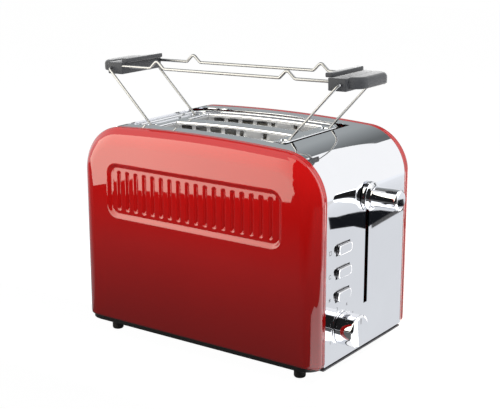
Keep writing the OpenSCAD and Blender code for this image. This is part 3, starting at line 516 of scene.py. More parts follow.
def make_finishes(casing, controls):
    """All finishes of the toaster, by plain names."""
    FINISHES.update(
        enamel=finish("red_enamel", casing.red, roughness=0.32, coat=1.0, coat_roughness=0.02, coat_ior=1.7,
                      specular=0.0, mottle=0.03, mottle_scale=14),
        plate=metal("bright_plate", casing.chrome, roughness=0.025, mottle=0.015, mottle_scale=20, spread=0.2),
        deck=metal("deck_plate", casing.chrome, roughness=0.1, mottle=0.02, mottle_scale=20, spread=0.2),
        handle=finish("handle_plastic", (0.046, 0.048, 0.053), roughness=0.5, specular=0.17, sheen=1.0,
                      mottle=0.12, grain=0.05, grain_scale=1500),
        satin=metal("satin_plate", (0.62, 0.64, 0.67), roughness=0.2, mottle=0.03, spread=0.15),
        lining=finish("galvanised_lining", (0.5, 0.505, 0.51), metallic=0.2, roughness=0.45, mottle=0.05,
                      mottle_scale=50),
        wire=metal("plated_wire", (0.36, 0.365, 0.375), roughness=0.33, mottle=0.05, mottle_scale=120,
                    spread=0.2),
        # a darker copy of the bright plate for the buttons' sides and bevels: painted shade that dims their
        # reflections
        key_side=metal("key_side_plate", (0.34, 0.34, 0.35), roughness=0.3, mottle=0.03, spread=0.15),
        black=finish("black_plastic", casing.black, roughness=0.38, mottle=0.15, grain=0.12, grain_scale=1500),
        trim=finish("grey_trim", (0.1, 0.095, 0.105), roughness=0.45, mottle=0.1, grain=0.08),
        rubber=finish("black_rubber", (0.01, 0.01, 0.01), roughness=0.7, mottle=0.2, grain=0.2),
        sheet=metal("zinc_sheet", (0.5, 0.51, 0.53), roughness=0.34, mottle=0.08, mottle_scale=60,
                     stretch=(1, 1, 8)),
        foil=metal("bright_aluminium", (0.78, 0.79, 0.8), roughness=0.22, mottle=0.05, stretch=(8, 1, 1)),
        mica=finish("mica_card", (0.5, 0.43, 0.31), roughness=0.35, mottle=0.22, mottle_scale=160),
        ribbon=metal("heater_ribbon", (0.3, 0.28, 0.26), roughness=0.45, mottle=0.15, mottle_scale=200),
        copper=metal("copper_winding", (0.5, 0.2, 0.08), roughness=0.35, mottle=0.1, stretch=(1, 1, 40)),
        board=finish("board_lacquer", (0.02, 0.13, 0.05), roughness=0.3, mottle=0.2, mottle_scale=140),
        print=finish("printed_grey", controls.print_grey, roughness=0.5, mottle=0.1),
    )


# Casing


def stations(s):
    """Places round the casing's side outline, from the control end's foot over the top to the back's foot."""
    cx = BAND_HIGH.x - s.corner_radius
    crown_z = BAND_HIGH.z - s.crown_radius
    lean = asin(cx / (s.crown_radius - s.corner_radius))
    cz = crown_z + (s.crown_radius - s.corner_radius) * cos(lean)
    sweep = degrees(pi / 2 - lean)
    rise = [0.0, 0.02, 0.05] + [0.1 * i for i in range(1, 10)] + [0.94, 0.97, 0.99]
    front = [("line", 1, f) for f in rise]
    corner = [("arc", cx, cz, s.corner_radius, sweep * i / 30) for i in range(31)]
    crown = [("arc", 0, crown_z, s.crown_radius, sweep + (180 - 2 * sweep) * i / 60) for i in range(1, 60)]
    back = [("arc", -cx, cz, s.corner_radius, 180 - a) for *_, a in reversed(corner)]
    rear = [("line", -1, f) for f in reversed(rise)]
    return front + corner + crown + back + rear, cz


def at_station(place, inset, low, cz):
    """Point in X and Z of a station, set in from the outline and cut off at the height low."""
    if place[0] == "line":
        return place[1] * (BAND_HIGH.x - inset), low + (cz - low) * place[2]
    _, cx, az, r, a = place
    a = radians(a)
    return cx + (r - inset) * cos(a), az + (r - inset) * sin(a)


def soft_ramp(e, run, depth, blend):
    """Depth of the panel's border at the distance e inside its mouth, with both corners blended."""
    k = depth / run
    if e <= -blend:
        return 0.0
    if e < blend:
        return k * (e + blend) ** 2 / (4 * blend)
    if e <= run - blend:
        return k * e
    if e < run + blend:
        return depth - k * (run + blend - e) ** 2 / (4 * blend)
    return depth


def flute_cell(s, face_y):
    """One pitch of the fluted floor, about x = 0, with a round-ended flute in it."""
    bm = bmesh.new()
    floor = face_y + s.vent_depth
    r, depth = s.flute_radius, 1.6 * MM
    straight = s.flute_height / 2 - r
    columns, rows = 18, 64
    half_h = s.vent_height / 2 - s.vent_bevel - 0.9 * MM
    grid = []
    for j in range(rows + 1):
        z = half_h * (2 * j / rows - 1)
        z = half_h * (1.5 * z / half_h - 0.5 * (z / half_h) ** 3)
        line = []
        for i in range(columns + 1):
            x = s.flute_pitch * (i / columns - 0.5)
            off = hypot(x, max(abs(z) - straight, 0))
            dip = depth * cos(pi / 2 * off / r) ** 2 if off < r else 0.0
            line.append(bm.verts.new((x, floor + dip, s.vent_centre + z)))
        grid.append(line)
    link_rows(bm, grid)
    return bm


def shell_sheet(s, cz, places):
    """Outer skin of the near side shell, with its pressed and fluted panel."""
    bm = bmesh.new()
    sill = SHELL_LOW.z
    face_y = SHELL_LOW.y
    seam_y = face_y + s.edge_radius
    lip = seam_y + s.edge_lip
    rolled = ((1.6 * MM, lip), (0.2 * MM, lip), (-0.06 * MM, lip - 0.1 * MM), (-0.12 * MM, lip - 0.3 * MM),
              (-0.12 * MM, seam_y))
    rings = [(inset, y, 0) for inset, y in rolled]
    full_to = 40
    for t in [2 + 88 * i / 28 for i in range(29)]:
        a = radians(t)
        full = s.edge_fullness * sin(pi * t / full_to) ** 2 if t < full_to else 0.0
        rings.append((s.edge_radius * (1 - cos(a)) - full, seam_y - s.edge_radius * sin(a), t))
    rings += [(s.edge_radius + 1.2 * MM, face_y, 90)]
    grid, hems = [], []
    for inset, y, t in rings:
        hem = s.hem_radius + (s.heel_radius - s.hem_radius) * cos(radians(t)) ** 2
        foot = sill + s.side_lift * sin(radians(t)) ** 2 + hem
        grid.append([bm.verts.new((x, y, z)) for x, z in (at_station(p, inset, foot, cz) for p in places)])
        hems.append((t, hem))
    link_rows(bm, grid)
    wall = grid[-1]
    span = wall[0].co.x - wall[-1].co.x
    steps = 26
    sill_z = sill + s.side_lift + s.hem_radius
    sill_line = [bm.verts.new((wall[-1].co.x + span * i / steps, face_y, sill_z)) for i in range(1, steps)]
    run = s.vent_bevel
    border = [e * MM for e in (-2, -1.2, -0.8, -0.4, 0, 0.4, 0.8)] + [run / 2]
    border += [run + e * MM for e in (-0.8, -0.4, 0, 0.4, 0.8)]
    profile = [(-e, face_y + soft_ramp(e, run, s.vent_depth, 0.8 * MM)) for e in border]
    rows = rounded_skin(bm, (0, s.vent_centre), (s.vent_length, s.vent_height), s.vent_corner, profile,
                        lambda x, z, y: (x, y, z), 3 * MM, 10)
    fill_between(bm, wall + sill_line, rows[0])
    bank = row_of("flute_bank", flute_cell(s, face_y), "enamel", s.flute_count,
                  (-(s.flute_count - 1) / 2 * s.flute_pitch, 0, 0), (s.flute_pitch, 0, 0))
    before = set(bm.verts)
    add_mesh(bm, bank)
    border = [e for e in bm.edges if e.is_boundary and e.verts[0] not in before]
    bmesh.ops.triangle_fill(bm, edges=border + loop_edges(bm, rows[-1]), use_beauty=True, use_dissolve=False)
    foot = [row[0] for row in grid] + list(reversed(sill_line)) + [row[-1] for row in reversed(grid)]
    ways = [(cos(radians(t)), -sin(radians(t)), r) for t, r in hems]
    ways = ways + [(0, -1, s.hem_radius)] * len(sill_line) + [(-x, y, r) for x, y, r in reversed(ways)]
    strip = [foot]
    for k in range(1, 7):
        a = radians(15 * k)
        under, drop = 1 - cos(a), sin(a)
        strip.append([bm.verts.new((v.co.x - nx * r * under, v.co.y - ny * r * under, v.co.z - r * drop))
                      for v, (nx, ny, r) in zip(foot, ways)])
    link_rows(bm, strip)
    face_out(bm, (0, face_y, sill + 0.05), (0, -1, 0))
    return bm


class TOASTER_OT_shells(bpy.types.Operator):
    """Make both red side shells with their pressed, fluted panels"""

    bl_idname = "toaster.shells"
    bl_label = "Side shells"

    def execute(self, context):
        s = context.scene.toaster_casing
        places, cz = stations(s)
        near = thicken(piece("shell_near", shell_sheet(s, cz, places), "enamel", 50), 1.6 * MM)
        settle(near, "casing", "red_shell", "side_shell_near")
        bm = bmesh.new()
        bm.from_mesh(near.data)
        bm.transform(Matrix.Scale(-1, 4, (0, 1, 0)))
        bmesh.ops.reverse_faces(bm, faces=bm.faces)
        settle(piece("shell_far", bm, "enamel", 50), "casing", "red_shell", "side_shell_far")
        return {"FINISHED"}


BUTTONS = {"stop_button": "stop_key", "reheat_button": "reheat_key", "defrost_button": "defrost_key"}
TOP_LEVEL = 180 * MM  # above this the band is its top


def band_cuts():
    """Openings of the band, for buttons, lever and tray, as (end, low y, high y, low z, high z)."""
    flange, room = 1.55 * MM, 0.5 * MM
    slot_half, slot_low, slot_high = 2.8 * MM, 51 * MM, 149 * MM
    cuts = []
    for node in BUTTONS:
        low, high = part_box(node)
        cuts.append((1, low[1] + flange, high[1] - flange, low[2] + flange, high[2] - flange))
    cuts.append((1, -slot_half, slot_half, slot_low, slot_high))
    low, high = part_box("crumb_tray")
    cuts.append((-1, low[1] - room, high[1] + room, 0, high[2] + room))
    return cuts


def spaced(marks, step=6 * MM):
    """Sorted marks with even steps between them, without the last."""
    marks = sorted(marks)
    out = []
    for a, b in zip(marks, marks[1:]):
        n = max(1, ceil((b - a) / step))
        out += [a + (b - a) * i / n for i in range(n)]
    return out


class TOASTER_OT_band(bpy.types.Operator):
    """Make the polished band round front, top and back with its openings"""

    bl_idname = "toaster.band"
    bl_label = "Bright band"

    def execute(self, context):
        s = context.scene.toaster_casing
        places, cz = stations(s)
        sill = BAND_LOW.z
        cuts = band_cuts()
        rows = []
        for end in (1, -1):
            marks = {sill, sill + 1.5 * MM, cz}
            marks |= {z for e, _, _, a, b in cuts if e == end for z in (a, b) if z > sill}
            rows.append([(end * BAND_HIGH.x, z) for z in spaced(marks)])
        arcs = [at_station(p, 0, sill, cz) for p in places if p[0] == "arc"]
        top = RIM_LOW.x - 0.4 * MM, RIM_HIGH.x + RIM_PLAY
        wide = RIM_HIGH.y + s.frame_gap
        arcs += [(x, self.crown(s, x)) for x in top]
        arcs.sort(key=lambda p: (-p[0], p[1] if p[0] > 0 else -p[1]))
        outline = rows[0] + arcs + list(reversed(rows[1]))
        side = BAND_HIGH.y - 0.1 * MM
        marks = {0.0, wide, -wide, side - 0.5 * MM, 0.5 * MM - side, side, -side}
        marks |= {y for _, a, b, _, _ in cuts for y in (a, b)}
        across = spaced(marks) + [side]
        bm = bmesh.new()
        grid = [[bm.verts.new((x, y, z)) for y in across] for x, z in outline]
        for a, b in zip(grid, grid[1:]):
            for i in range(len(across) - 1):
                mid = (a[i].co + a[i + 1].co + b[i].co + b[i + 1].co) / 4
                if not self.open_at(mid, cuts, top, wide):
                    bm.faces.new((a[i], a[i + 1], b[i + 1], b[i]))
        edge = [v for row in grid for v in row
                if abs(v.co.x - top[0]) < 1e-6 and v.co.z > TOP_LEVEL and abs(v.co.y) <= wide + 1e-6]
        link_rows(bm, [edge, [bm.verts.new(v.co - Vector((0, 0, 4 * MM))) for v in edge]])
        bmesh.ops.delete(bm, geom=[v for v in bm.verts if not v.link_faces], context="VERTS")
        face_out(bm, (BAND_HIGH.x, 30 * MM, 60 * MM), (1, 0, 0))
        band = thicken(piece("band", bm, "plate", 40), 0.8 * MM)
        band.data.set_sharp_from_angle(angle=radians(40))
        settle(band, "casing", "bright_band", "chrome_band")
        return {"FINISHED"}

    def crown(self, s, x):
        """Height of the arched top at x."""
        return BAND_HIGH.z - s.crown_radius + sqrt(s.crown_radius ** 2 - x * x)

    def open_at(self, mid, cuts, top, wide):
        """Whether a point of the band lies in an opening."""
        if mid.z > TOP_LEVEL and top[0] < mid.x < top[1] and abs(mid.y) < wide:
            return True
        end = 1 if mid.x > 0 else -1
        return abs(mid.x) > BAND_HIGH.x - 1e-5 and any(
            e == end and a < mid.y < b and low < mid.z < high for e, a, b, low, high in cuts)


def arch(s, bm):
    """Bends what is drawn flat at the slot frame's crest down along its arch."""
    r = s.crown_radius
    for v in bm.verts:
        v.co.z += sqrt(r * r - (v.co.x - s.arch_middle) ** 2) - r


class TOASTER_OT_slot_frame(bpy.types.Operator):
    """Make the arched slot frame with its beaded rim, flanged slots, rack sockets and a black sheet under the gap
    round it, painted shade for that gap
    """

    bl_idname = "toaster.slot_frame"
    bl_label = "Slot frame"

    def execute(self, context):
        s = context.scene.toaster_casing
        cx = (RIM_LOW.x + RIM_HIGH.x) / 2
        back = s.front_gap - RIM_PLAY
        rim_x = cx - back / 2
        size = RIM_HIGH.x - RIM_LOW.x - back, RIM_HIGH.y - RIM_LOW.y
        self.plate(s, cx, rim_x, size)
        self.walls(s, cx)
        # a black sheet under the gap round the frame: painted shade standing in for the shade down in that gap
        bm = bmesh.new()
        ring = steps_from(0, 0, ((9, -3.4), (-1.5, -3.4)))
        rounded_skin(bm, (rim_x, 0), size, s.frame_corner, ring, self.at)
        arch(s, bm)
        face_out(bm, (cx, RIM_HIGH.y, RIM_HIGH.z), (0, 0, 1))
        settle(thicken(piece("gap_shade_sheet", bm, "rubber"), 0.6 * MM), "casing", "black_rubber")
        return {"FINISHED"}

    def at(self, x, y, level):
        """A point over the plan, level with the rim's crest or below it."""
        return x, y, RIM_HIGH.z + level

    def plate(self, s, cx, rim_x, size):
        """Rim, plate, the slots' rolled lips and the sockets for the rack's feet."""
        bm = bmesh.new()
        bead = [(0, -8.4), (0, -0.9), (-0.1, -0.5), (-0.35, -0.18), (-0.8, -0.03), (-1.35, 0), (-1.9, -0.05),
                (-2.35, -0.28), (-2.7, -0.7), (-2.9, -1.15), (-3.25, -1.46), (-4, -1.5)]
        rows = rounded_skin(bm, (rim_x, 0), size, s.frame_corner, steps_from(0, 0, bead), self.at, n=14)
        lip = [(1.9, -1.5), (1.3, -1.52), (0.7, -1.7), (0.25, -2.15), (0, -2.8), (0, -3.4)]
        mouth = [(0.7, -1.5), (0.25, -1.62), (0, -2.1), (0, -6)]
        slot, socket = (s.slot_length, s.slot_width), (s.socket_length, s.socket_width)
        cuts = [((cx, side * s.slot_pitch / 2), slot, s.slot_corner, lip) for side in (-1, 1)]
        round_end = s.socket_width / 2 - 0.02 * MM
        cuts += [((cx + end * s.socket_reach, side * s.socket_spread), socket, round_end, mouth)
                 for end in (-1, 1) for side in (-1, 1)]
        rims = [rounded_skin(bm, centre, opening, corner, steps_from(0, 0, edge), self.at)
                for centre, opening, corner, edge in cuts]
        fill_between(bm, rows[-1], *[rim[0] for rim in rims])
        arch(s, bm)
        face_out(bm, (cx, 0, RIM_HIGH.z), (0, 0, 1))
        plate = thicken(piece("slot_frame_plate", bm, "deck", 45), 0.7 * MM)
        plate.data.set_sharp_from_angle(angle=radians(45))
        settle(plate, "casing", "bright_band", "slot_frame")

    def walls(self, s, cx):
        """Flanges down from the slots' lips, with ventilation notches along their long sides."""
        bm = bmesh.new()
        for side, span in ((-1, (4.6, 9.6)), (1, (5.4, 8.8))):
            levels = [(0, -h * MM) for h in (3.35, *span, 12)]
            rows = rounded_rows(bm, (cx, side * s.slot_pitch / 2), (s.slot_length, s.slot_width), s.slot_corner,
                                levels, self.at)
            for k, (a, b) in enumerate(zip(rows, rows[1:])):
                for i in range(len(a)):
                    j = (i + 1) % len(a)
                    long_side = abs(a[i].co.x - a[j].co.x) > 2 * MM
                    notch = i % 6 == 2 if a[i].co.x > 0 else i % 4 != 1
                    if not (k == 1 and long_side and notch):
                        bm.faces.new((a[i], a[j], b[j], b[i]))
        arch(s, bm)
        face_out(bm, (cx, s.slot_pitch / 2 - s.slot_width / 2, RIM_HIGH.z - 4 * MM), (0, 1, 0))
        settle(thicken(piece("slot_walls", bm, "lining", 45), 0.6 * MM), "casing", "bright_band")


class TOASTER_OT_base(bpy.types.Operator):
    """Make the rubber feet, the black skirt under the shells and the trim below the panel"""

    bl_idname = "toaster.base"
    bl_label = "Base"

    def execute(self, context):
        low, high = corners("rubber_feet")
        r = context.scene.toaster_casing.foot_radius
        h = SHELL_LOW.z
        outline = [(0, 0)] + steps_from(0, r, ((0, -1.2), (0.3, -0.6), (1, -0.15), (2, 0)))
        outline += steps_from(h, r, ((-2.4, 0), (-2, -0.5), (-1.6, 0), (0, 0))) + [(h, 0)]
        bm = bmesh.new()
        for x in (low.x + r, high.x - r):
            for y in (low.y + r, high.y - r):
                join_bm(bm, lathe(outline, (x, y, 0), "Z", 40))
        settle(piece("feet", bm, "rubber"), "casing", "black_rubber", "rubber_feet")
        plan = round_rect(BAND_HIGH.x - 3.2 * MM, 0, 5.6 * MM, 128.6 * MM, 1 * MM, 4)
        trim = slab(plan, h - 1.4 * MM, h, 0.3 * MM)
        settle(piece("base_trim", trim, "trim", 40), "casing", "black_plastic")
        bm = bmesh.new()
        size = 2 * BAND_HIGH.x - 6 * MM, -2 * SHELL_LOW.y - 4 * MM
        wall = steps_from(0, h, ((-1.2, -0.6), (0, 0), (0.3, 1), (0.3, 7), (-1.5, 7)))
        rounded_skin(bm, (0, 0), size, 14 * MM, wall, lambda x, y, z: (x, y, z), 8 * MM)
        face_out(bm, (0, SHELL_LOW.y, h + 4 * MM), (0, -1, 0))
        settle(thicken(piece("base_skirt", bm, "black", 40), 0.8 * MM), "casing", "black_plastic")
        return {"FINISHED"}


class TOASTER_OT_lever(bpy.types.Operator):
    """Make the lever's round handle and its flared collar"""

    bl_idname = "toaster.lever"
    bl_label = "Lever"

    def execute(self, context):
        s = context.scene.toaster_controls
        low, high = corners("lever_collar")
        z = (low.z + high.z) / 2
        wide, neck = s.collar_radius, s.lever_radius + 0.6 * MM
        t = high.x - low.x
        mid = low.x + t * 0.5
        ring = [(low.x, 0)] + steps_from(low.x, wide, ((0, -0.3), (0.2, -0.1), (0.5, -0.1)))
        ring += steps_from(mid, wide, ((-0.6, -0.8), (-0.2, -0.95), (0, -1.3))) + [(mid, 0)]
        settle(piece("lever_collar_ring", lathe(ring, (0, 0, z)), "plate", 40), "carriage", "bright_band")
        mouth = wide - 1.6 * MM
        flare = [(mid - 0.4 * MM, 0)] + steps_from(mid, wide, ((-0.4, -1.7), (0.1, -1.6)))
        flare += [(mid + t * 0.5 * f, mouth - (mouth - neck) * sin(f * pi / 2))
                  for f in (0.15, 0.3, 0.45, 0.6, 0.75, 0.9, 1)]
        flare += [(high.x, 0)]
        collar = piece("lever_flare", lathe(flare, (0, 0, z)), "plate")
        settle(collar, "carriage", "bright_band", "lever_collar")
        low, high = corners("lever_knob")
        high.x += s.lever_reach
        r, c = s.lever_radius, 1.3 * MM
        grip = [(low.x, 0)] + steps_from(low.x, r, ((0, -0.3), (0.3, 0), (1, 0)))
        grip += steps_from(high.x - c, r, ((-1, 0), (-0.2, 0), (0, -0.06)))
        grip += steps_from(high.x, r - c, ((-0.15, 0), (0, -0.3))) + [(high.x, 0)]
        handle = piece("lever_handle", lathe(grip, (0, 0, z)), "plate", 25)
        settle(handle, "carriage", "bright_band", "lever_knob")
        return {"FINISHED"}


class TOASTER_OT_buttons(bpy.types.Operator):
    """Make the three push buttons and the small signs printed beside them"""

    bl_idname = "toaster.buttons"
    bl_label = "Buttons"

    def execute(self, context):
        s = context.scene.toaster_controls
        panel, flange, soft = BAND_HIGH.x, 4 * MM, 1.1 * MM
        turns = [radians(k) for k in range(0, 85, 12)]
        for node, body in BUTTONS.items():
            low, high = corners(node)
            y, z = (low.y + high.y) / 2, (low.z + high.z) / 2
            w, h = high.y - low.y - flange, high.z - low.z - flange
            corner = min(s.button_corner, h / 2 - 0.3 * MM)
            pillow = [(0, panel - 6 * MM), (0, high.x - soft - 0.4 * MM)]
            pillow += [(soft * (cos(a) - 1), high.x - soft * (1 - sin(a))) for a in turns]
            pillow += [(-soft, high.x), (-soft - 0.4 * MM, high.x)]
            bm = bmesh.new()
            rows = rounded_skin(bm, (y, z), (w, h), corner, pillow, lambda y, z, x: (x, y, z), 3 * MM)
            bm.faces.new(rows[0])
            bm.faces.new(rows[-1])
            even_faces(bm)
            foot = slab(round_rect(y, z, w + flange, h + flange, 1 * MM, 2), 0, 1.4 * MM, 0.2 * MM)
            join_bm(bm, along_x(foot, low.x))
            cap = piece(node.replace("_button", "_key_cap"), bm, "plate", 40)
            # faces not facing the front take the darker copy: painted shade on the buttons' sides and bevels
            cap.data.materials.append(FINISHES["key_side"])
            for face in cap.data.polygons:
                face.material_index = int(abs(face.normal.x) < 0.8)
            settle(cap, body, "bright_band", node)
        self.signs(panel)
        return {"FINISHED"}

    def signs(self, panel):
        """Plain printed signs left of the buttons: a square, a ring and a six-armed star."""
        bm = bmesh.new()
        x = panel + PRINT_LIFT
        y = -57.5 * MM
        zs = [sum(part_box(n)[k][2] for k in (0, 1)) / 2 for n in BUTTONS]

        def bar(cy, cz, l, t, a):
            u = Vector((0, cos(a), sin(a)))
            v = Vector((0, -sin(a), cos(a)))
            c = Vector((x, cy, cz))
            square = ((-0.5, -0.5), (0.5, -0.5), (0.5, 0.5), (-0.5, 0.5))
            bm.faces.new([bm.verts.new(c + u * l * i + v * t * j) for i, j in square])

        stroke, wide, r = 0.4 * MM, 3.4 * MM, 1.6 * MM
        for side in (1, -1):
            bar(y, zs[0] + side * 1.5 * MM, wide, stroke, 0)
        for side in (1, -1):
            bar(y + side * 1.5 * MM, zs[0], stroke, wide, 0)
        for i in range(14):
            a = radians(40 + i * 280 / 13)
            bar(y + r * cos(a), zs[1] + r * sin(a), 0.8 * MM, stroke, a + pi / 2)
        for i in range(3):
            bar(y, zs[2], 3.6 * MM, stroke, radians(30 + 60 * i))
        settle(piece("button_signs", bm, "print"), "casing", "black_plastic")


class TOASTER_OT_knob(bpy.types.Operator):
    """Make the browning knob, its ring and the figures round it"""

    bl_idname = "toaster.knob"
    bl_label = "Browning knob"

    def execute(self, context):
        s = context.scene.toaster_controls
        low, high = corners("browning_knob")
        y, z = (low.y + high.y) / 2, (low.z + high.z) / 2
        r, c = s.knob_radius, 1.2 * MM
        turned = [(low.x, 0)] + steps_from(low.x, r, ((0, -0.4), (0.4, 0), (1.2, 0)))
        turned += steps_from(high.x - c, r, ((-1.2, 0), (-0.3, 0), (0, -0.1)))
        turned += steps_from(high.x, r - c, ((-0.25, 0), (0, -0.5))) + [(high.x, 0)]
        bm = lathe(turned, (0, y, z))
        settle(piece("knob_cap", bm, "plate", 25), "browning_control", "bright_band", "browning_knob")
        mark = slab(round_rect(y, z + 9 * MM, 0.9 * MM, 5 * MM, 0.44 * MM, 4), 0, 0.12 * MM, 0)
        pointer = piece("knob_pointer", along_x(mark, high.x - 0.04 * MM), "print")
        settle(pointer, "browning_control", "black_plastic")
        low, high = corners("knob_ring")
        wide = (high.y - low.y) / 2
        bore = 4.9 * MM
        ring = [(low.x, bore), (low.x, wide)] + steps_from(high.x, wide, ((-0.4, 0), (-0.1, -0.15), (0, -0.5)))
        ring += [(high.x, bore), (low.x, bore)]
        settle(piece("knob_bezel", lathe(ring, (0, y, z)), "plate", 40), "casing", "bright_band", "knob_ring")
        self.figures(s, y, z, wide)
        return {"FINISHED"}

    def figures(self, s, y, z, wide):
        """Browning steps 1 to 6 on an arc over the knob."""
        bm = bmesh.new()
        first, apart, r = 205, 46, wide + 4.2 * MM
        for i in range(6):
            a = radians(first - apart * i)
            text = bpy.data.curves.new("figure", "FONT")
            text.body = str(i + 1)
            text.size = s.digit_height * 1.35
            text.align_x, text.align_y = "CENTER", "CENTER"
            carrier = placed("figure", text)
            mesh = as_made(carrier)
            bpy.data.objects.remove(carrier)
            bpy.data.curves.remove(text)
            spot = Vector((BAND_HIGH.x + PRINT_LIFT, y + r * cos(a), z + r * sin(a)))
            mesh.transform(Matrix.Translation(spot) @ TO_YZ)
            add_mesh(bm, mesh)
        settle(piece("browning_figures", bm, "print"), "casing", "black_plastic")


def rack_place(s):
    """Where the rack's own frame sits on the casing."""
    return Matrix.Translation((s.middle, 0, s.pivot_height)) @ Matrix.Rotation(-s.tilt, 4, "Y")


class TOASTER_OT_rack_wires(bpy.types.Operator):
    """Make the rack's rails and folding legs from bent wire"""

    bl_idname = "toaster.rack_wires"
    bl_label = "Rack wires"

    def execute(self, context):
        s = context.scene.toaster_rack
        place = rack_place(s)
        half = 113 * MM
        wires = []
        for side, node in ((-1, "rack_rail_near"), (1, "rack_rail_far")):
            y, z = side * s.rail_spread, s.rail_rise
            peak = [(-s.peak_length / 2, 0), (0, s.peak_height), (s.peak_length / 2, 0)]
            peaks = [(x + end * s.peak_reach, y, z + h) for end in (-1, 1) for x, h in peak]
            wires.append((node, "rack", s.rail_radius, [(-half, y, z), *peaks, (half, y, z)]))
        reach, drop, spread = 45.8 * MM, 46.5 * MM, 31.5 * MM
        stretch = 1 + 2.4 * MM / hypot(reach, drop)
        for end, node, body in ((1, "rack_leg_front", "leg_front"), (-1, "rack_leg_rear", "leg_rear")):
            foot, low = end * (s.pivot_reach - reach * stretch), -drop * stretch
            pin = end * s.pivot_reach
            bends = [(foot, -spread, low), (pin, -spread, 0), (pin, spread, 0), (foot, spread, low)]
            wires.append((node, body, s.leg_radius, bends))
        for node, body, radius, bends in wires:
            bm = tube(bent(bends, 3 * MM), radius, 20)
            bm.transform(place)
            settle(piece(node.replace("rack_", "") + "_wire", bm, "wire"), body, "rack_wire", node)
        return {"FINISHED"}


class TOASTER_OT_rack_handles(bpy.types.Operator):
    """Make the two black handles of the rack"""

    bl_idname = "toaster.rack_handles"
    bl_label = "Rack handles"

    def execute(self, context):
        s = context.scene.toaster_rack
        block = round_rect(115.5 * MM, 0, 17 * MM, 55 * MM, 1.2 * MM, 4)
        ridge = round_rect(106.5 * MM, 0, 7 * MM, 50 * MM, 1.2 * MM, 4)
        for end, node in ((1, "rack_handle_front"), (-1, "rack_handle_rear")):
            bm = bmesh.new()
            join_bm(bm, slab(block, -5.4 * MM, 4.9 * MM, 0.7 * MM))
            join_bm(bm, slab(ridge, 4.7 * MM, 8.4 * MM, 0.8 * MM))
            join_bm(bm, self.grip(s))
            if end < 0:
                bm.transform(Matrix.Scale(-1, 4, (1, 0, 0)))
                bmesh.ops.reverse_faces(bm, faces=bm.faces)
            bm.transform(rack_place(s))
            grip = piece(node.replace("rack_", "") + "_grip", bm, "handle", 40)
            settle(grip, "rack", "black_plastic", node)
        return {"FINISHED"}

    def grip(self, s):
        """The domed tongue of a handle."""
        r, half = s.grip_corner, s.grip_width / 2
        tip, low, high = s.grip_reach - r, -3.6 * MM, 5.8 * MM
        root = 122 * MM
        outline = [(root, half), (root, -half)]
        outline += arc(tip, r - half, r, 270, 360, 14) + arc(tip, half - r, r, 0, 90, 14)
        bm = slab(outline, low, high, 0)
        for level, offset, steps in ((high, 4.5 * MM, 9), (low, 1.6 * MM, 4)):
            rim = [e for e in bm.edges if all(abs(v.co.z - level) < 1e-6 for v in e.verts)]
            round_off(bm, rim, offset, steps)
        return bm


class TOASTER_OT_chamber(bpy.types.Operator):
    """Make the bread guards from round wire"""

    bl_idname = "toaster.chamber"
    bl_label = "Bread guards"

    def execute(self, context):
        count, span, inset = 10, 120 * MM, 8 * MM
        start = RIM_LOW.x / 2 + RIM_HIGH.x / 2 - span / 2
        for node, body in (("guard_near_outer", "guard_no"), ("guard_near_inner", "guard_ni"),
                           ("guard_far_inner", "guard_fi"), ("guard_far_outer", "guard_fo")):
            low, high = corners(node)
            y = (low.y + high.y) / 2
            wire = tube([(0, y, low.z), (0, y, high.z)], 0.8 * MM, 10)
            bm = bmesh.new()
            add_mesh(bm, row_of("uprights", wire, "sheet", count, (start, 0, 0), (span / (count - 1), 0, 0)))
            for z in (low.z + inset, high.z - inset):
                join_bm(bm, tube([(low.x, y, z), (high.x, y, z)], 1 * MM, 10))
            settle(piece(node + "_wires", bm, "sheet"), body, "plain_steel", node)
        return {"FINISHED"}


class TOASTER_OT_back(bpy.types.Operator):
    """Make the cord gland and the crumb tray's handle at the back"""

    bl_idname = "toaster.back"
    bl_label = "Back fittings"

    def execute(self, context):
        low, high = corners("cord_gland")
        y, z = (low.y + high.y) / 2, (low.z + high.z) / 2
        r = (high.y - low.y) / 2
        bore, neck = 3.5 * MM, 6.5 * MM
        gland = [(low.x, bore)] + steps_from(low.x, r, ((0, -1.2), (0.35, -0.4), (1, 0), (2, 0)))
        gland += [(low.x + 2 * MM, neck), (high.x, neck), (high.x, bore), (low.x, bore)]
        bush = piece("gland_bush", lathe(gland, (0, y, z), n=64), "black", 40)
        settle(bush, "casing", "black_plastic", "cord_gland")
        low, high = corners("crumb_tray_handle")
        w, h = high.y - low.y, high.z - low.z
        mid = (low.z + high.z) / 2
        bm = along_x(slab(round_rect(0, mid, w, h, 2 * MM, 5), 0, 2.5 * MM, 0.6 * MM), low.x)
        lip = slab(round_rect(0, low.z + h / 4, w, h / 2, 1 * MM, 3), 0, 2.8 * MM, 0.2 * MM)
        join_bm(bm, along_x(lip, high.x - 2.8 * MM))
        settle(piece("tray_grip", bm, "black", 40), "tray", "black_plastic", "crumb_tray_handle")
        return {"FINISHED"}


NODE_FINISHES = {
    "black": ("base_plate", "tact_switches", "button_guide"),
    "sheet": ("base_screws", "crumb_tray", "front_bulkhead", "rear_bulkhead", "carriage_plate", "lever_arm",
              "bread_lifter_near", "bread_lifter_far", "latch_armature", "magnet_core", "board_screws"),
    "foil": ("reflector_near", "reflector_far"),
    "mica": ("mica_near", "mica_centre", "mica_far"),
    "ribbon": ("heater_near", "heater_centre", "heater_far"),
    "satin": ("guide_rods", "return_spring", "potentiometer", "knob_shaft"),
    "copper": ("magnet_coil",),
    "board": ("control_board",),
}


class TOASTER_OT_works(bpy.types.Operator):
    """Give the works inside the casing their finishes"""

    bl_idname = "toaster.works"
    bl_label = "Inner works"

    def execute(self, context):
        for name, nodes in NODE_FINISHES.items():
            for node in nodes:
                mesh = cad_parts[node].data
                mesh.materials.clear()
                mesh.materials.append(FINISHES[name])
        return {"FINISHED"}


# Studio


WHITE = (1, 1, 1, 1)
POOL = (0.95, 0.97, 1.0)
WARM = (1.0, 0.95, 0.82)


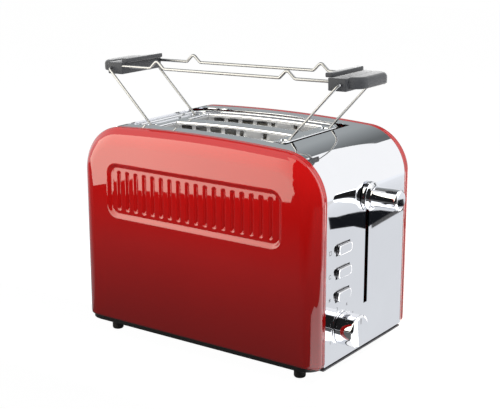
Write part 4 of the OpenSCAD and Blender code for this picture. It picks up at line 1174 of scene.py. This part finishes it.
def glow(name, strength, shade=(1, 1, 1), fade=None):
    """An emission material; fade = (axis, start, end, far strength) lets it run out along an axis."""
    mat, nodes, link = material(name)
    nodes.remove(nodes["Principled BSDF"])
    lamp = add(nodes, "ShaderNodeEmission", Color=(*shade, 1), Strength=strength)
    if fade:
        axis, start, end, far = fade
        split = nodes.new("ShaderNodeSeparateXYZ")
        run = add(nodes, "ShaderNodeMapRange", From_Min=start, From_Max=end, To_Min=strength, To_Max=far)
        link(nodes.new("ShaderNodeTexCoord").outputs["Object"], split.inputs["Vector"])
        link(split.outputs[axis], run.inputs["Value"])
        link(run.outputs["Result"], lamp.inputs["Strength"])
    link(lamp.outputs["Emission"], nodes["Material Output"].inputs["Surface"])
    return mat


def seen_apart(nodes, link, plain, seen, output):
    """Shows one shader to the camera and to reflections, and another to all other light."""
    ray, mix, pick = (nodes.new("ShaderNode" + kind) for kind in ("LightPath", "MixShader", "Math"))
    pick.operation = "MAXIMUM"
    for i, kind in enumerate(("Is Camera Ray", "Is Glossy Ray")):
        link(ray.outputs[kind], pick.inputs[i])
    link(pick.outputs["Value"], mix.inputs["Fac"])
    link(plain.outputs[0], mix.inputs[1])
    link(seen.outputs[0], mix.inputs[2])
    link(mix.outputs["Shader"], output.inputs["Surface"])


def between(table, value):
    """Straight-line reading of a table of pairs."""
    for (a, x), (b, y) in zip(table, table[1:]):
        if value <= b:
            return x + (y - x) * max(0.0, (value - a) / (b - a))
    return table[-1][1]


def sheet(name, points, mat, faces=None):
    """A flat or bent studio surface."""
    mesh = bpy.data.meshes.new(name)
    mesh.from_pydata(points, [], faces or [tuple(range(len(points)))])
    mesh.materials.append(mat)
    obj = placed(name, mesh)
    return obj


def card(name, points, mat, diffuse=False, faces=None):
    """A studio card that reflections see and the camera does not."""
    obj = sheet(name, points, mat, faces)
    obj.visible_camera = obj.visible_shadow = False
    obj.visible_diffuse = diffuse
    return obj


def floor_card(name, plan, height, mat, diffuse=False):
    """A card lying just over the floor."""
    return card(name, [(x, y, height * MM) for x, y in plan], mat, diffuse)


def look_from(obj, place, aim):
    """Puts a lamp or camera at a place and turns it to a point."""
    obj.location = place
    obj.rotation_euler = (Vector(aim) - Vector(place)).to_track_quat("-Z", "Y").to_euler()


def softbox(name, place, aim, size, power):
    """A rectangular lamp that looks at a point."""
    lamp = bpy.data.lights.new(name, "AREA")
    lamp.shape = "RECTANGLE"
    lamp.size, lamp.size_y = size
    lamp.energy = power
    obj = placed(name, lamp)
    look_from(obj, place, aim)
    obj.visible_camera = obj.visible_glossy = False


class TOASTER_OT_stage(bpy.types.Operator):
    """Set the camera, the pale floor and the studio light"""

    bl_idname = "toaster.stage"
    bl_label = "Stage"

    def execute(self, context):
        s = context.scene.toaster_stage
        scene = context.scene
        scene.view_settings.view_transform = "Standard"
        camera = bpy.data.cameras.new("camera")
        camera.sensor_fit = "HORIZONTAL"
        camera.sensor_width = 36
        camera.lens = s.lens
        scene.camera = placed("camera", camera)
        look_from(scene.camera, s.eye, s.aim)
        self.room(scene, s)
        self.floor()
        self.cards()
        for name, place, aim, size, share in (
            ("near_box", (-0.165, -0.18, 0.31), (-0.165, 0, 0.31), (0.57, 0.38), 0.64),
            ("far_box", (0.0, 0.22, 0.31), (0, 0, 0.31), (0.9, 0.38), 1),
            ("front_box", (0.24, 0, 0.36), (0, 0, 0.36), (0.34, 0.4), 0.26),
            ("corner_box", (0.19, -0.15, 0.28), (0, 0.04, 0.28), (0.12, 0.3), 0.09),
            ("overhead", (0.0, 0.05, 0.8), (0, 0.05, 0), (1.0, 0.8), 1),
        ):
            softbox(name, place, aim, size, s.key_power * share)
        return {"FINISHED"}

    def room(self, scene, s):
        """White to the camera and to reflections, softer as light."""
        world = bpy.data.worlds.new("studio")
        scene.world = world
        world.use_nodes = True
        nodes, link = world.node_tree.nodes, world.node_tree.links.new
        light = put(nodes["Background"], Color=WHITE, Strength=s.world_light)
        seen = add(nodes, "ShaderNodeBackground", Color=WHITE, Strength=1.0)
        seen_apart(nodes, link, light, seen, nodes["World Output"])

    def cards(self):
        """Cards for what is mirrored: a tent by the near side, grey behind, white beyond the panel, and flags."""
        border = [(-24, -0.42), (-21.2, -0.2), (-21, -0.121), (-18, -0.12), (5, 0.016), (34, 0.094),
                  (57, 0.107), (84, 0.11)]
        tent_end = -0.35
        self.barrel("tent", (-24, 75), lambda a: -1.6, lambda a: min(tent_end, between(border, a)),
                    glow("tent_white", 3.7, WARM))
        self.barrel("tent_end", (-23.3, 75), lambda a: tent_end, lambda a: max(tent_end, between(border, a)),
                    glow("tent_fading", 3.7, WARM, ("X", tent_end, 0.1, 2.2)))
        self.barrel("dark_wall", (-21, 80), lambda a: between(border, a), lambda a: 0.7,
                    glow("dark_wall", 0.015))
        self.barrel("top_grey", (100, 142), lambda a: -0.35, lambda a: 0.03, glow("top_grey", 0.2))
        card("right_white", [(0.75, y, z) for y, z in ((-0.6, 0), (0.55, 0), (0.55, 1.6), (-0.6, 1.6))],
             glow("right_white", 0.015, fade=("Y", -0.12, 0.2, 3.2)))
        card("back_grey", [(x, 0.95, z) for x, z in ((-1.8, 0), (0.3, 0), (0.3, 1.6), (-1.8, 1.6))],
             glow("back_grey", 0.4, (0.92, 0.98, 1.0), ("X", -0.45, 0.1, 0.16)))
        beyond = (0.0, 0.775), (0.225, 0.682), (0.25, 0), (1.8, 0), (1.8, 1.2), (0.0, 1.2)
        card("panel_white", [(x, 0.9, z) for x, z in beyond], glow("panel_white", 1.05))
        floor_card("panel_floor", [(0.125, -0.07), (0.45, -0.03), (0.9, 0.9), (0.125, 0.9)], 1,
                   glow("panel_floor", 0.8, POOL, ("X", 0.36, 0.5, 1.05)))
        corner = [(0.132, -0.09), (0.238, -0.185), (0.41, -0.072), (0.41, 0.15), (0.253, 0.15), (0.225, 0.103),
                  (0.161, -0.002), (0.132, -0.052)]
        floor_card("corner_floor", corner, 1.5, glow("corner_floor", 1.2, fade=("Y", -0.19, 0.06, 3)))
        corner = [(0.253, 0.15), (0.75, 0.15), (0.75, 0.66), (0.563, 0.66), (0.453, 0.48), (0.345, 0.302),
                  (0.2845, 0.202)]
        floor_card("corner_far", corner, 1.5, glow("corner_far", 2.6, fade=("Y", 0.15, 0.4, 0.8)))
        far = [(0.125, 0.0735), (0.161, 0.1415), (0.225, 0.265), (0.2845, 0.3805), (0.345, 0.4975),
               (0.4525, 0.7055), (0.58, 0.953), (-0.1, 0.95), (0.11, 0.09)]
        floor_card("far_floor", far, 1.6, glow("far_floor", 3.6, (1.0, 0.95, 0.9)))
        shade = glow("near_flag", 0.008, fade=("Y", -0.5, -0.3, 0.13))
        near = [(-0.15, -0.06), (-0.13, -0.03), (0.112, -0.03), (0.118, -0.085), (0.118, -1.2), (-1.2, -1.2),
                (-1.2, -1.16)]
        floor_card("near_flag", near, 1, shade, True)
        rear = [(-0.15, -0.06), (-1.2, -1.16), (-1.2, -0.03), (-0.13, -0.03)]
        floor_card("near_shade", rear, 1, shade, True).visible_glossy = False
        rear = [(-0.15, -0.06), (-1.2, -1.16), (-1.2, 0.94), (-0.126, 0.94), (-0.126, -0.03), (-0.13, -0.03)]
        floor_card("rear_floor", rear, 1.4, glow("rear_floor", 0.13, POOL, ("Y", -0.25, 0.1, 0.9)))
        front = [(0.118, -0.085), (0.173, -0.127), (0.238, -0.185), (0.432, -0.058), (0.624, 0.003),
                 (1.2, 0.05), (1.2, -1.2), (0.118, -1.2)]
        floor_card("front_flag", front, 1, glow("front_flag", 0.008, fade=("Y", -0.46, -0.32, 0.11)), True)
        black = glow("black_flag", 0.012, (0.7, 0.8, 1.0))
        low = [(0.379, 0.3641), (0.3719, 0.3713), (0.3678, 0.3918), (0.3617, 0.4094), (0.356, 0.4156),
               (0.3446, 0.4306), (0.328, 0.4336), (0.3205, 0.3663), (0.3162, 0.3455), (0.3252, 0.346),
               (0.3338, 0.3473), (0.3378, 0.3408), (0.3493, 0.3191)]
        floor_card("panel_flag_low", low, 2, black)
        high = [(0.4157, 0.4732), (0.4085, 0.497), (0.3895, 0.464), (0.4014, 0.4489)]
        floor_card("panel_flag_high", high, 2, black)
        edge = [(0.3119, 0.3511), (0.3205, 0.3663), (0.328, 0.4336), (0.3282, 0.4629), (0.3214, 0.4499)]
        floor_card("panel_flag_edge", edge, 2, glow("grey_flag", 0.1))

    def barrel(self, name, sweep, left, right, mat):
        """A card bent round the near upper edge over a sweep of angles, its ends in x given for each angle."""
        (y, z), r, n = (-0.08, 0.17), 0.36, 32
        rows = []
        for i in range(n + 1):
            a = sweep[0] + (sweep[1] - sweep[0]) * i / n
            turn = radians(a)
            rows += [(x(a), y - r * cos(turn), z + r * sin(turn)) for x in (left, right)]
        card(name, rows, mat, faces=[(2 * i, 2 * i + 1, 2 * i + 3, 2 * i + 2) for i in range(n)])

    def floor(self):
        """A pale floor, white to the camera but for the toaster's faint shadow."""
        mat, nodes, link = material("pale_floor")
        plain = put(nodes["Principled BSDF"], Base_Color=(0.9, 0.9, 0.9, 1), Roughness=0.9)
        pale = add(nodes, "ShaderNodeBsdfDiffuse", Color=(0.3, 0.3, 0.3, 1))
        white = add(nodes, "ShaderNodeEmission", Strength=0.95)
        lit = nodes.new("ShaderNodeAddShader")
        link(pale.outputs["BSDF"], lit.inputs[0])
        link(white.outputs["Emission"], lit.inputs[1])
        seen_apart(nodes, link, plain, lit, nodes["Material Output"])
        sheet("floor", [(-3, -3, 0), (3, -3, 0), (3, 3, 0), (-3, 3, 0)], mat)


class TOASTER_PT_panel(bpy.types.Panel):
    """Lists the toaster's makers"""

    bl_idname = "TOASTER_PT_panel"
    bl_label = "Toaster"
    bl_space_type = "VIEW_3D"
    bl_region_type = "UI"
    bl_category = "Toaster"

    def draw(self, context):
        for operator in OPERATORS:
            self.layout.operator(operator.bl_idname)
        for group in SETTINGS:
            settings = getattr(context.scene, group)
            box = self.layout.box()
            for name in settings.__annotations__:
                box.prop(settings, name)


SETTINGS = {
    "toaster_casing": CasingSettings, "toaster_controls": ControlSettings,
    "toaster_rack": RackSettings, "toaster_stage": StageSettings,
}
OPERATORS = (
    TOASTER_OT_stage, TOASTER_OT_shells, TOASTER_OT_band, TOASTER_OT_slot_frame, TOASTER_OT_base,
    TOASTER_OT_lever, TOASTER_OT_buttons, TOASTER_OT_knob, TOASTER_OT_rack_wires, TOASTER_OT_rack_handles,
    TOASTER_OT_chamber, TOASTER_OT_back, TOASTER_OT_works,
)


def register():
    for group in SETTINGS.values():
        bpy.utils.register_class(group)
    for operator in OPERATORS:
        bpy.utils.register_class(operator)
    bpy.utils.register_class(TOASTER_PT_panel)
    for name, group in SETTINGS.items():
        setattr(bpy.types.Scene, name, PointerProperty(type=group))


def unregister():
    for name in SETTINGS:
        delattr(bpy.types.Scene, name)
    bpy.utils.unregister_class(TOASTER_PT_panel)
    for operator in reversed(OPERATORS):
        bpy.utils.unregister_class(operator)
    for group in reversed(SETTINGS.values()):
        bpy.utils.unregister_class(group)


def main():
    register()
    scene = bpy.context.scene
    make_finishes(scene.toaster_casing, scene.toaster_controls)
    for operator in OPERATORS:
        group, name = operator.bl_idname.split(".")
        getattr(getattr(bpy.ops, group), name)()


if __name__ == "__main__":
    main()
